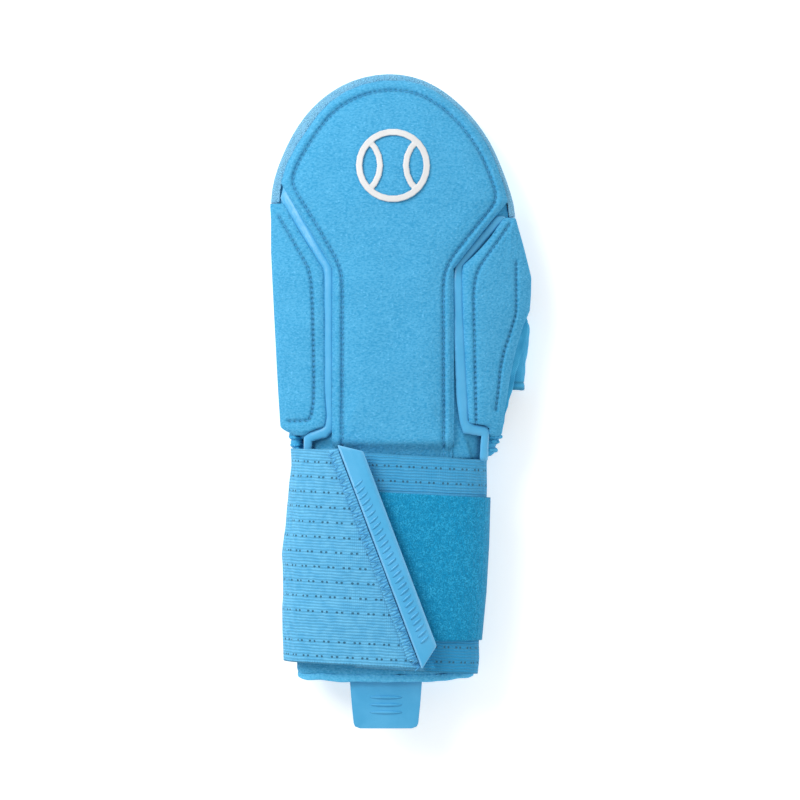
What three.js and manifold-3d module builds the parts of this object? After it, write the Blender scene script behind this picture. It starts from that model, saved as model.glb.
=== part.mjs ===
// A left-hand sliding mitt, lying on its palm with the back of the hand up.
// Millimetres. Fingers point to +Y, the thumb side is +X, and the floor is Z = 0.
import * as THREE from "three";
import { mergeVertices } from "three/addons/utils/BufferGeometryUtils.js";
import Module from "manifold-3d";

// Driving dimensions of the whole mitt.
const mittWidth = 119.8;
const tipHeight = 58.4; // from the middle of the fingertip arch to the end of the mitt
const palmLength = 115.0; // from the strap's upper edge to the middle of the arch
const wristLength = 106.0; // from the strap's upper edge to the end of the cuff
const bodyHeight = 36.0; // over the knuckles, without the padded panels
const bodyAxisX = -3.6; // the line through the middle finger
const pocketWall = 3.0;
const cuffWall = 2.6;
const layerGap = 0.5; // clearance between one layer and the next

// Fingertip bumper.
const rimThickness = 2.5;
const rimProud = 1.4; // its thickness over the back
const rimLip = 0.8; // thickness of its edge under the fingertips
const rimEdgeDrop = 0.3; // how far its corner lies below the body's widest line
const rimLeftTurn = 180.5;
const rimRightTurn = -7;

// Padded panels of the back.
const centerPad = 4.2;
const sidePad = 3.8;
const padEdge = 1.6; // thickness left at a panel's edge
const padRoll = 6.0; // width of the rounded edge
const waistHalf = 27.4; // half width of the center panel's narrow part
const waistDrop = 31.8; // top of that part, below the middle of the arch
const leftShoulderRise = 8.0; // left shoulder above the middle of the arch
const rightShoulderDrop = 0.5; // right shoulder below it
const panelFoot = 1.6; // from the strap's upper edge to the center panel
const channelWidth = 4.4;

// Smooth strips in the channels.
const stripThickness = 1.6;

// Thumb side.
const sleeveLength = 38.0;
const sleeveMouthY = 4.7;
const sleeveHeight = 18.5;
const sleeveWall = 1.5;
const gussetThickness = 1.5;
const gussetHang = 9.0; // how far the fold reaches in below the panel
const slotLength = 26.0;
const slotHeight = 15.0;
const slotAhead = 19.0; // its middle, above the strap's upper edge
const slotRise = 2.5; // its lower edge above the pocket's floor

// Wrist: the cuff, the strap, its brushed patch, its end and the bar on it.
const jointDrop = 4.0; // where the pocket meets the cuff, below the strap's upper edge
const floorEase = 14.0; // length over which the underside rises onto the strap
const strapThickness = 2.2;
const strapShort = 4.0; // how much the strap leaves of the cuff
const strapSlant = 0.06; // drop of its edges for each millimetre towards the thumb
const innerDrop = 2.1; // the inner layer's upper edge, below the strap's
const endRise = 0.8; // and the outer end's above it
const footRise = 1.6; // the inner layer's lower edge, above the strap's end
const footEase = 1.2; // and the outer end's above that
const strapEase = 0.8; // clearance to the cuff inside it
const patchThickness = 1.4;
const patchTop = 19.5; // below the strap's upper edge
const patchLength = 67.5;
const barWidth = 10.0;
const barThickness = 2.6;
const barTopRise = 1.5; // its top above the strap's upper edge
const barDrop = 97.0; // its foot below the strap's upper edge
const barTopSlant = { left: 1.2, right: -1.7 };
const barFootSlant = { left: -2.6, right: 8.0 };
const barTopX = -23.5;
const barFootX = 13.6;
const edgingWidth = 4.4;
const edgingThickness = 0.8;
const edgingEnd = 1.2; // how much shorter it is than the bar at each end
const hemLength = 3.6;
const hemRise = 5.0; // how far the cuff's end draws back at the sides
const hemExtra = 0.6; // how far the bound edge stands in past the cuff's wall
const tabWidth = 33.0;
const tabDrop = 21.4; // what shows of the pull tab below the cuff
const tabRoot = 14.0; // what is sewn inside the cuff
const tabThickness = 2.4;
const tabX = -6.8;

// Plain ornament on the back.
const badgeShare = 0.265; // its middle up the fingertip arch
const badgeRadius = 15.5;
const badgeWidth = 3.2;
const badgeHeight = 1.0;
const badgeSeat = 0.3; // clearance to the panel
const seamSink = 0.2;

// Gathered elastic between each side panel's corner and the strap.
const gatherFolds = 3;
const foldDepth = 1.3;
const gatherTop = 0.6; // how far the folds reach above the body's widest line
const gatherDrop = 11.0; // and below it
const leftGatherEnd = 1.6; // lower end, above the strap's upper edge
const rightGatherEnd = -3.2;

// Places along the mitt that follow from the lengths above.
const fullLength = tipHeight + palmLength + wristLength + tabDrop;
const tipY = fullLength / 2;
const archY = tipY - tipHeight;
const strapY = archY - palmLength;
const cuffEndY = strapY - wristLength;
const slotMiddleY = strapY + slotAhead;
const halfWidth = mittWidth / 2;
const archHalf = halfWidth * 0.975;
const rimSeat = rimThickness + layerGap;
const badgeY = archY + tipHeight * badgeShare;

// Stations run from -1 at the cuff's end, 0 at the strap and 1 at the arch to 2 at the fingertips.
function stationY(at) {
  if (at < 0) return strapY + at * wristLength;
  if (at < 1) return strapY + at * palmLength;
  return archY + (at - 1) * tipHeight;
}

function stationOf(y) {
  if (y < strapY) return (y - strapY) / wristLength;
  if (y < archY) return (y - strapY) / palmLength;
  return 1 + (y - archY) / tipHeight;
}

// Sections of the carrying body. Reach to each side is a share of the half width, the heights are
// shares of the body height, tuck is how far in the rounded lower side goes, a share of the half
// width, and oval goes from 0, a crowned back, to 1, a tube.
const bodyRows = [
  { at: -1.0, left: 0.715, right: 0.51, height: 0.92, side: 0.52, tuck: 0.4, oval: 1 },
  { at: -0.55, left: 0.78, right: 0.585, height: 1.0, side: 0.52, tuck: 0.42, oval: 1 },
  { at: -0.15, left: 0.74, right: 0.61, height: 1.0, side: 0.53, tuck: 0.38, oval: 1 },
  { at: 0.0, left: 0.745, right: 0.615, height: 0.98, side: 0.55, tuck: 0.28, oval: 0.7 },
  { at: 0.12, left: 0.85, right: 0.6, height: 0.96, side: 0.58, tuck: 0.16, oval: 0.25 },
  { at: 0.3, left: 0.885, right: 0.57, height: 0.97, side: 0.6, tuck: 0.14, oval: 0 },
  { at: 0.47, left: 0.905, right: 0.62, height: 0.96, side: 0.6, tuck: 0.14, oval: 0 },
  { at: 0.6, left: 0.92, right: 0.8, height: 0.95, side: 0.59, tuck: 0.14, oval: 0 },
  { at: 0.75, left: 0.93, right: 0.9, height: 0.92, side: 0.57, tuck: 0.14, oval: 0 },
  { at: 0.9, left: 0.935, right: 0.84, height: 0.88, side: 0.53, tuck: 0.13, oval: 0 },
  { at: 1.0, left: 0.94, right: 0.808, height: 0.85, side: 0.5, tuck: 0.12, oval: 0 },
  { at: 1.5, left: 0.9, right: 0.8, height: 0.7, side: 0.38, tuck: 0.12, oval: 0 },
  { at: 2.0, left: 0.9, right: 0.8, height: 0.5, side: 0.29, tuck: 0.12, oval: 0 },
];

// Outer edges of the side panels, shares of the half width.
const backRows = [
  { at: -0.1, left: 0.83, right: 0.66 },
  { at: 0.0, left: 0.835, right: 0.71 },
  { at: 0.062, left: 0.866, right: 0.762 },
  { at: 0.09, left: 0.915, right: 0.772 },
  { at: 0.217, left: 0.931, right: 0.808 },
  { at: 0.31, left: 0.941, right: 0.835 },
  { at: 0.381, left: 0.948, right: 0.865 },
  { at: 0.473, left: 0.957, right: 0.915 },
  { at: 0.561, left: 0.966, right: 0.985 },
  { at: 0.68, left: 0.978, right: 1.0 },
  { at: 0.8, left: 0.989, right: 0.943 },
  { at: 0.921, left: 0.989, right: 0.877 },
];

// The fingertip arch: reach from its middle at each angle, a share of its radius.
const archRows = [
  { at: -12, reach: 0.985 },
  { at: -7, reach: 0.972 },
  { at: 5, reach: 0.922 },
  { at: 18, reach: 0.892 },
  { at: 34, reach: 0.893 },
  { at: 47, reach: 0.908 },
  { at: 57, reach: 0.928 },
  { at: 67, reach: 0.956 },
  { at: 78, reach: 0.984 },
  { at: 91, reach: 1.0 },
  { at: 109, reach: 0.998 },
  { at: 122, reach: 0.983 },
  { at: 135, reach: 0.963 },
  { at: 149, reach: 0.943 },
  { at: 160, reach: 0.94 },
  { at: 170, reach: 0.95 },
  { at: 180, reach: 0.962 },
  { at: 190, reach: 0.97 },
];

// Linear and smooth reading of a table whose rows rise in "at".
function spanOf(rows, at) {
  let i = 0;
  while (i < rows.length - 2 && at > rows[i + 1].at) i += 1;
  const t = (at - rows[i].at) / (rows[i + 1].at - rows[i].at);
  return { i, t: Math.min(1, Math.max(0, t)) };
}

function linear(rows, at, column) {
  const { i, t } = spanOf(rows, at);
  return rows[i][column] * (1 - t) + rows[i + 1][column] * t;
}

function smooth(rows, at, column) {
  const { i, t } = spanOf(rows, at);
  const slope = (k) => {
    const a = rows[Math.max(0, k - 1)];
    const b = rows[Math.min(rows.length - 1, k + 1)];
    return (b[column] - a[column]) / (b.at - a.at);
  };
  const span = rows[i + 1].at - rows[i].at;
  const rise = rows[i + 1][column] - rows[i][column];
  const near = slope(i) * span;
  const far = slope(i + 1) * span;
  const bend = near + far - 2 * rise;
  return rows[i][column] + t * (near + t * (3 * rise - 2 * near - far + t * bend));
}

const mix = (a, b, t) => a * (1 - t) + b * t;
const clamp01 = (t) => Math.min(1, Math.max(0, t));
const steps = (count) => Array.from({ length: count + 1 }, (_, i) => i / count);

// A closed solid from points and faces of three or four corners, turned to face out.
function closedSolid(points, faces) {
  const flat = [];
  for (const face of faces) {
    for (let k = 1; k < face.length - 1; k += 1) flat.push(face[0], face[k], face[k + 1]);
  }
  const loose = new THREE.BufferGeometry();
  loose.setAttribute("position", new THREE.Float32BufferAttribute(points.flat(), 3));
  loose.setIndex(flat);
  const merged = mergeVertices(loose, 1e-3);
  const index = merged.index.array;
  const at = merged.attributes.position;
  const kept = [];
  let volume = 0;
  for (let i = 0; i < index.length; i += 3) {
    const [a, b, c] = [index[i], index[i + 1], index[i + 2]];
    if (a === b || b === c || c === a) continue;
    kept.push(a, b, c);
    const [p, q, r] = [a, b, c].map((k) => new THREE.Vector3().fromBufferAttribute(at, k));
    volume += p.dot(q.cross(r));
  }
  if (volume < 0) kept.reverse();
  const solid = new THREE.BufferGeometry();
  solid.setAttribute("position", at);
  solid.setIndex(kept);
  return solid;
}

// Rings of equal count joined in order. Each end is capped, or the last ring meets the first.
function loft(rings, closed = false) {
  const count = rings[0].length;
  const faces = [];
  const bands = closed ? rings.length : rings.length - 1;
  for (let r = 0; r < bands; r += 1) {
    const here = r * count;
    const next = ((r + 1) % rings.length) * count;
    for (let k = 0; k < count; k += 1) {
      const l = (k + 1) % count;
      faces.push([here + k, here + l, next + l, next + k]);
    }
  }
  const points = rings.flat();
  if (!closed) {
    for (const [ring, first] of [[rings[0], 0], [rings.at(-1), (rings.length - 1) * count]]) {
      const middle = [0, 1, 2].map((c) => ring.reduce((sum, p) => sum + p[c], 0) / count);
      points.push(middle);
      for (let k = 0; k < count; k += 1) {
        const l = (k + 1) % count;
        const cap = [points.length - 1, first + k, first + l];
        faces.push(first === 0 ? cap.reverse() : cap);
      }
    }
  }
  return closedSolid(points, faces);
}

// A solid between two surfaces over the same grid: low(u, v) and high(u, v) give points.
function slab(across, along, low, high) {
  const us = Array.isArray(across) ? across : steps(across);
  const vs = Array.isArray(along) ? along : steps(along);
  const wide = us.length;
  const points = [];
  for (const surface of [low, high]) {
    for (const v of vs) for (const u of us) points.push(surface(u, v));
  }
  const top = wide * vs.length;
  const faces = [];
  for (let j = 0; j < vs.length - 1; j += 1) {
    for (let i = 0; i < wide - 1; i += 1) {
      const a = j * wide + i;
      faces.push([a, a + wide, a + wide + 1, a + 1]);
      faces.push([top + a, top + a + 1, top + a + wide + 1, top + a + wide]);
    }
  }
  const edge = (a, b) => faces.push([a, b, top + b, top + a]);
  for (let i = 0; i < wide - 1; i += 1) {
    edge(i, i + 1);
    edge((vs.length - 1) * wide + i + 1, (vs.length - 1) * wide + i);
  }
  for (let j = 0; j < vs.length - 1; j += 1) {
    edge((j + 1) * wide, j * wide);
    edge((j + 1) * wide - 1, (j + 2) * wide - 1);
  }
  return closedSolid(points, faces);
}

// The fingertip arch, drawn in by an inset.
function archPoint(angle, inset = 0) {
  const on = (degrees) => {
    const reach = smooth(archRows, degrees, "reach");
    const turn = THREE.MathUtils.degToRad(degrees);
    return new THREE.Vector2(
      bodyAxisX + archHalf * reach * Math.cos(turn),
      archY + tipHeight * reach * Math.sin(turn),
    );
  };
  const along = on(angle + 1).sub(on(angle - 1)).normalize();
  return on(angle).add(new THREE.Vector2(-along.y, along.x).multiplyScalar(inset));
}

// Where the drawn-in arch is at a height: inset gives the distance at each angle.
const topTurn = 91;
function archX(y, side, inset) {
  let low = side < 0 ? archRows.at(-1).at : archRows[0].at;
  let high = topTurn;
  for (let i = 0; i < 30; i += 1) {
    const middle = (low + high) / 2;
    if (archPoint(middle, inset(middle)).y < y) low = middle;
    else high = middle;
  }
  return archPoint(low, inset(low)).x;
}
const archEdge = (y, side, inset) => archX(y, side, () => inset);

// Left and right edge of the carrying body and of the back with its side panels.
function bodyEdges(y, inset = 0) {
  if (y >= archY) return [archEdge(y, -1, rimSeat + inset), archEdge(y, 1, rimSeat + inset)];
  const at = stationOf(y);
  const ends = [archEdge(archY, -1, rimSeat), archEdge(archY, 1, rimSeat)];
  const below = bodyRows.filter((row) => row.at < 1);
  const rowsTo = (column, end) => smooth([...below, { at: 1, [column]: end }], at, column);
  return [
    -halfWidth * rowsTo("left", -ends[0] / halfWidth) + inset,
    halfWidth * rowsTo("right", ends[1] / halfWidth) - inset,
  ];
}

const archEnds = [archEdge(archY, -1, 0), archEdge(archY, 1, 0)];
const crownFoot = 0.9; // reach of the back's crown at the strap, a share of the half width
backRows.push({ at: 1, left: -archEnds[0] / halfWidth, right: archEnds[1] / halfWidth });
function backEdges(y) {
  if (y >= archY) return [archEdge(y, -1, 0), archEdge(y, 1, 0)];
  const at = stationOf(y);
  return [-halfWidth * linear(backRows, at, "left"), halfWidth * linear(backRows, at, "right")];
}

// How far out a point of the back lies: 0 on the axis, 1 on the outer edge.
function outness(x, y) {
  if (y < archY) {
    const wide = Math.abs(archEnds[x < bodyAxisX ? 0 : 1] - bodyAxisX);
    return Math.abs(x - bodyAxisX) / mix(halfWidth * crownFoot, wide, clamp01(stationOf(y)));
  }
  const dx = (x - bodyAxisX) / archHalf;
  const dy = (y - archY) / tipHeight;
  const angle = THREE.MathUtils.radToDeg(Math.atan2(dy, dx));
  return Math.hypot(dx, dy) / smooth(archRows, angle, "reach");
}

// Height of the body's upper surface, which the panels lie on.
const crownPower = 2.3;
const ovalPower = 2.4;
function crownZ(x, y) {
  const at = stationOf(y);
  const height = bodyHeight * smooth(bodyRows, at, "height");
  const side = bodyHeight * smooth(bodyRows, at, "side");
  return height - (height - side) * outness(x, y) ** crownPower;
}

function topZ(x, y, inset = 0) {
  const at = stationOf(y);
  const height = bodyHeight * smooth(bodyRows, at, "height");
  const side = bodyHeight * smooth(bodyRows, at, "side");
  const oval = clamp01(smooth(bodyRows, at, "oval"));
  const crown = crownZ(x, y);
  if (oval === 0) return crown - inset;
  const [left, right] = bodyEdges(y, inset);
  const out = Math.min(1, Math.abs(x - (left + right) / 2) / ((right - left) / 2));
  const tube = side + (height - inset - side) * (1 - out ** ovalPower) ** (1 / ovalPower);
  return mix(crown - inset, tube, oval);
}

// What the panels and strips lie on: they bridge the rounded corners of the wrist.
const backZ = (x, y) => Math.max(crownZ(x, y), topZ(x, y)) + layerGap;

// Lowest height of a section: the palm lies on the floor and the cuff on the strap below it.
function floorZ(y) {
  const under = strapThickness + layerGap;
  return under * clamp01((strapY + floorEase - y) / floorEase);
}

// Height of the rounded lower side at a distance in from the section's edge.
function tuckZ(edgeZ, lowZ, tuck, distance) {
  const t = 1 - clamp01(distance / tuck);
  return lowZ + (edgeZ - lowZ) * (1 - Math.sqrt(1 - t * t));
}

// Distance in from the outer edge of the arch.
const archReach = (x, y) => (1 - outness(x, y)) * tipHeight;

// One section of the body as a ring of points, from the left edge over the top and back below.
const ringTop = 16;
const ringLow = 12;
function bodyRing(y, inset, topCount = ringTop, lowCount = ringLow) {
  const [left, right] = bodyEdges(y, inset);
  const middle = (left + right) / 2;
  const half = Math.max(0, (right - left) / 2);
  const tuck = halfWidth * linear(bodyRows, stationOf(y), "tuck");
  const ring = [];
  for (let i = 0; i < topCount; i += 1) {
    const x = middle - half * Math.cos((Math.PI * i) / topCount);
    ring.push([x, y, topZ(x, y, inset)]);
  }
  for (let i = 0; i < lowCount; i += 1) {
    const x = middle + half * Math.cos((Math.PI * i) / lowCount);
    const beside = half - Math.abs(x - middle);
    const reach = y < archY ? beside : Math.min(beside, archReach(x, y) - rimSeat - inset);
    const edgeZ = topZ(x > middle ? right : left, y, inset);
    ring.push([x, y, tuckZ(edgeZ, floorZ(y) + inset, tuck, reach)]);
  }
  return ring;
}

// The tip is closed by a short flat end.
const tipSweep = 0.92 * (Math.PI / 2);
const apexY = (inset) => archPoint(topTurn, rimSeat + inset).y;

// Stations of a body shell, closer together towards the rounded tip.
function bodyStations(startAt, inset) {
  const low = [startAt, 0.02, 0.06, 0.12, 0.2, 0.3, 0.38, 0.47, 0.54, 0.6, 0.68, 0.76, 0.84, 0.92];
  const tip = apexY(inset);
  const arch = steps(8).map((t) => mix(archY, tip, Math.sin(tipSweep * t)));
  return [...low.map(stationY), ...arch];
}

const materialOf = (color, roughness) => new THREE.MeshStandardMaterial({ color, roughness, metalness: 0 });
const fabricBlue = materialOf(0x55afe4, 0.95);
const elasticBlue = materialOf(0x66b9ea, 0.9);
const rubberBlue = materialOf(0x5cb6f0, 0.45);
const rimBlue = materialOf(0x6cc0ee, 0.6);
const patchBlue = materialOf(0x2f9fcf, 1.0);
const badgeWhite = materialOf(0xecebeb, 0.5);

const mitt = new THREE.Group();
function addPiece(name, geometry, material) {
  const piece = new THREE.Mesh(geometry, material);
  piece.name = name;
  mitt.add(piece);
}

// manifold-3d joins and cuts.
const wasm = await Module();
wasm.setup();

function toManifold(geometry) {
  const bare = geometry.index ? geometry.clone() : mergeVertices(stripped(geometry), 1e-3);
  return new wasm.Manifold(
    new wasm.Mesh({
      numProp: 3,
      vertProperties: new Float32Array(bare.attributes.position.array),
      triVerts: new Uint32Array(bare.index.array),
    }),
  );
}

function stripped(geometry) {
  const bare = geometry.index ? geometry.toNonIndexed() : geometry.clone();
  bare.deleteAttribute("normal");
  bare.deleteAttribute("uv");
  return bare;
}

function fromManifold(solid) {
  const mesh = solid.getMesh();
  const positions = [];
  for (let i = 0; i < mesh.numVert; i += 1) {
    positions.push(...mesh.vertProperties.subarray(i * mesh.numProp, i * mesh.numProp + 3));
  }
  const geometry = new THREE.BufferGeometry();
  geometry.setAttribute("position", new THREE.Float32BufferAttribute(positions, 3));
  geometry.setIndex([...mesh.triVerts]);
  return geometry;
}

// Fabric pocket, with the slot that the thumb leaves through.
const jointY = strapY - jointDrop;
function handPocket() {
  const start = stationOf(jointY);
  const outer = bodyStations(start, 0).map((y) => bodyRing(y, 0));
  const inner = bodyStations(start, pocketWall).map((y) => bodyRing(y, pocketWall));
  const shell = loft([...inner.reverse(), ...outer]);
  const half = slotHeight / 2;
  const run = slotLength / 2 - half;
  const outline = new THREE.Shape();
  outline.absarc(run, 0, half, -Math.PI / 2, Math.PI / 2);
  outline.absarc(-run, 0, half, Math.PI / 2, (3 * Math.PI) / 2);
  const cutter = new THREE.ExtrudeGeometry(outline, {
    depth: halfWidth * 0.7,
    bevelEnabled: false,
    curveSegments: 6,
  });
  cutter.applyMatrix4(
    new THREE.Matrix4().makeBasis(
      new THREE.Vector3(0, 1, 0),
      new THREE.Vector3(0, 0, 1),
      new THREE.Vector3(1, 0, 0),
    ),
  );
  cutter.translate(halfWidth * 0.35, slotMiddleY, pocketWall + slotRise + half);
  return fromManifold(toManifold(shell).subtract(toManifold(mergeVertices(stripped(cutter), 1e-3))));
}
addPiece("hand_pocket", handPocket(), fabricBlue);

// The wrist is a tube whose end draws back at the sides.
const wristTop = 20;
const wristLow = 12;
const hemPower = 7; // how late it draws back
function wristRing(y, inset) {
  const [left, right] = bodyEdges(y, inset);
  const fade = clamp01(1 - (y - cuffEndY) / (wristLength * 0.3));
  return bodyRing(y, inset, wristTop, wristLow).map(([x, , z]) => {
    const out = Math.abs(2 * x - left - right) / (right - left);
    return [x, y + fade * hemRise * out ** hemPower, z];
  });
}

function wristCuff() {
  const start = jointY - layerGap;
  const end = cuffEndY + hemLength + layerGap;
  const ys = steps(6).map((t) => mix(start, end, t));
  const outer = ys.map((y) => wristRing(y, 0));
  const inner = ys.map((y) => wristRing(y, cuffWall)).reverse();
  return loft([...outer, ...inner], true);
}
addPiece("wrist_cuff", wristCuff(), fabricBlue);

function cuffHem() {
  const inside = cuffWall + hemExtra;
  const section = [
    { drop: 0, inset: 0.08 * inside },
    { drop: 0.6, inset: 0 },
    { drop: 0.9, inset: 0.09 * inside },
    { drop: 1, inset: 0.38 * inside },
    { drop: 1, inset: 0.72 * inside },
    { drop: 0.85, inset: inside },
    { drop: 0, inset: 0.92 * inside },
  ];
  const rings = section.map((row) => wristRing(cuffEndY + hemLength * (1 - row.drop), row.inset));
  return loft(rings, true);
}
addPiece("cuff_hem", cuffHem(), fabricBlue);

// Fingertip bumper, a section swept round the arch.
const bandRows = [
  { at: -12, band: 0.052 },
  { at: 5, band: 0.045 },
  { at: 18, band: 0.038 },
  { at: 47, band: 0.042 },
  { at: 78, band: 0.048 },
  { at: 100, band: 0.062 },
  { at: 122, band: 0.07 },
  { at: 142, band: 0.088 },
  { at: 160, band: 0.066 },
  { at: 190, band: 0.076 },
];
const bandWidth = (angle) => tipHeight * smooth(bandRows, angle, "band");

const rimRoom = rimLip + 0.1 * rimLip; // below the pocket's rounded side
function rimSection(angle) {
  const edge = archPoint(angle);
  const side = topZ(edge.x, edge.y);
  const band = bandWidth(angle);
  const tuck = halfWidth * linear(bodyRows, stationOf(Math.max(archY, edge.y)), "tuck");
  const at = (inset, z) => {
    const p = archPoint(angle, inset);
    return [p.x, p.y, z(topZ(p.x, p.y), tuckZ(side, 0, tuck, inset))];
  };
  const wall = Math.min(rimThickness, 0.8 * band);
  const lip = 0.85 * tuck;
  const inside = (inset) => tuckZ(side, 0, tuck, inset - rimThickness) - rimRoom;
  return [
    at(band, (top) => top + rimProud),
    at(band * 0.5, (top) => top + rimProud * 0.95),
    at(band * 0.15, (top) => top + rimProud * 0.5),
    at(0, () => side - rimEdgeDrop),
    at(0.08 * tuck, (top, low) => low),
    at(0.25 * tuck, (top, low) => low),
    at(0.5 * tuck, (top, low) => low),
    at(lip, (top, low) => low),
    at(lip, (top, low) => low + rimLip),
    at(rimThickness + 0.28 * tuck, () => inside(rimThickness + 0.28 * tuck)),
    at(rimThickness + 0.06 * tuck, () => inside(rimThickness + 0.12 * tuck)),
    at(wall, () => side * 0.8),
    at(wall, (top) => top + layerGap),
    at(band, (top) => top + layerGap),
  ];
}

function tipRim() {
  const angles = steps(34).map((t) => mix(rimRightTurn, rimLeftTurn, t));
  return loft(angles.map(rimSection));
}
addPiece("tip_rim", tipRim(), rimBlue);

// Edges of the center panel: a narrow waist, slanted shoulders and the arch inside the bumper.
const shoulderY = { left: archY + leftShoulderRise, right: archY - rightShoulderDrop };
const waistY = archY - waistDrop;
const archPanelX = (y, side) => archX(y, side, (angle) => bandWidth(angle) + layerGap);

function centerEdge(y, side) {
  const shoulder = side < 0 ? shoulderY.left : shoulderY.right;
  const waist = bodyAxisX + side * waistHalf;
  if (y <= waistY) return waist;
  if (y >= shoulder) return archPanelX(y, side);
  return mix(waist, archPanelX(shoulder, side), (y - waistY) / (shoulder - waistY));
}

// Thickness of a panel at a distance in from its nearest edge.
function padThickness(full, distance) {
  const t = 1 - clamp01(distance / padRoll);
  return padEdge + (full - padEdge) * Math.sqrt(1 - t * t);
}

// A padded panel on the body: rows of stations, and its left and right edge at each of them.
const panelAcross = [0, 0.025, 0.07, 0.15, 0.3, 0.5, 0.7, 0.85, 0.93, 0.975, 1];
function backPanel(ys, edgeOf, full) {
  const [first, last] = [ys[0], ys.at(-1)];
  const index = steps(ys.length - 1);
  const place = (u, v) => {
    const y = ys[Math.round(v * (ys.length - 1))];
    const [left, right] = edgeOf(y);
    return [mix(left, right, u), y, left, right];
  };
  const low = (u, v) => {
    const [x, y] = place(u, v);
    return [x, y, backZ(x, y)];
  };
  const high = (u, v) => {
    const [x, y, left, right] = place(u, v);
    const ends = Math.min(y - first, last - y);
    const distance = Math.max(0, Math.min(x - left, right - x, ends));
    return [x, y, backZ(x, y) + padThickness(full, distance)];
  };
  return slab(panelAcross, index, low, high);
}

const centerTopY = archPoint(topTurn, bandWidth(topTurn) + layerGap).y;
const centerFootY = strapY + panelFoot;
function centerYs() {
  const foot = [0, 0.08, 0.27, 0.57, 1].map((share) => centerFootY + share * padRoll);
  const waist = steps(4).map((t) => mix(centerFootY + 2.3 * padRoll, waistY, t));
  const slant = steps(3).map((t) => mix(waistY, shoulderY.right, t)).slice(1);
  const shoulder = [shoulderY.left];
  const arch = steps(8).map((t) => mix(shoulderY.left, centerTopY, Math.sin(tipSweep * t)));
  return [...foot, ...waist, ...slant, ...shoulder, ...arch.slice(1)];
}
const centerSides = (y) => [centerEdge(y, -1), centerEdge(y, 1)];
addPiece("center_panel", backPanel(centerYs(), centerSides, centerPad), fabricBlue);

// Side panels. Gap is the channel between a side panel and the center panel, in channel widths.
const leftRows = [
  { at: 0.063, gap: 2.95 },
  { at: 0.079, gap: 2.4 },
  { at: 0.098, gap: 0.95 },
  { at: 0.136, gap: 0.75 },
  { at: 0.208, gap: 0.9 },
  { at: 0.7, gap: 1.0 },
  { at: 0.725, gap: 1.1 },
  { at: 0.86, gap: 1.3 },
  { at: 0.982, gap: 1.3 },
];
const rightRows = [
  { at: 0.06, gap: 3.95 },
  { at: 0.091, gap: 3.85 },
  { at: 0.103, gap: 3.36 },
  { at: 0.113, gap: 1.75 },
  { at: 0.28, gap: 1.5 },
  { at: 0.559, gap: 1.1 },
  { at: 0.69, gap: 1.04 },
  { at: 0.735, gap: 0.85 },
  { at: 0.9, gap: 1.25 },
  { at: 0.925, gap: 1.32 },
];

function sidePanel(rows, side) {
  const edgeOf = (y) => {
    const gap = channelWidth * linear(rows, stationOf(y), "gap");
    const inner = centerEdge(y, side) + side * gap;
    const outer = backEdges(y)[side < 0 ? 0 : 1];
    return side < 0 ? [outer, inner] : [inner, outer];
  };
  const ys = rows.flatMap((row, i) => {
    const y = stationY(row.at);
    if (i === rows.length - 1) return [y];
    const next = stationY(rows[i + 1].at);
    const parts = Math.max(1, Math.round((next - y) / (2 * channelWidth)));
    return steps(parts - 1 || 1).slice(0, parts).map((t) => mix(y, next, (t * (parts - 1)) / parts));
  });
  return backPanel(ys, edgeOf, sidePad);
}
addPiece("side_panel_left", sidePanel(leftRows, -1), fabricBlue);
addPiece("side_panel_right", sidePanel(rightRows, 1), fabricBlue);

// Smooth strips, in the channels from edge to edge. Below the side panels each turns outwards and
// then down to the strap. Far is its edge on the side panel's side and near the other one, in
// channel widths from the center panel's edge, and each has its own station.
const leftFootRows = [
  { farAt: 0.098, far: 0.83, nearAt: 0.095, near: 0.11 },
  { farAt: 0.0845, far: 1.36, nearAt: 0.079, near: 0.14 },
  { farAt: 0.0705, far: 2.32, nearAt: 0.0557, near: 0.68 },
  { farAt: 0.052, far: 2.93, nearAt: 0.0435, near: 2.25 },
  { farAt: 0.0113, far: 2.98, nearAt: 0.0113, near: 2.36 },
];
const rightFootRows = [
  { farAt: 0.119, far: 1.5, nearAt: 0.115, near: 0.82 },
  { farAt: 0.1, far: 2.2, nearAt: 0.073, near: 1.16 },
  { farAt: 0.0905, far: 3.5, nearAt: 0.061, near: 3.0 },
  { farAt: 0.075, far: 3.72, nearAt: 0.052, near: 3.05 },
  { farAt: -0.008, far: 3.55, nearAt: -0.008, near: 2.9 },
];
const stripStep = 0.8 * channelWidth; // a foot's sections are no farther apart
const stripEase = 0.11; // clearance to each panel, in channel widths

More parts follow.
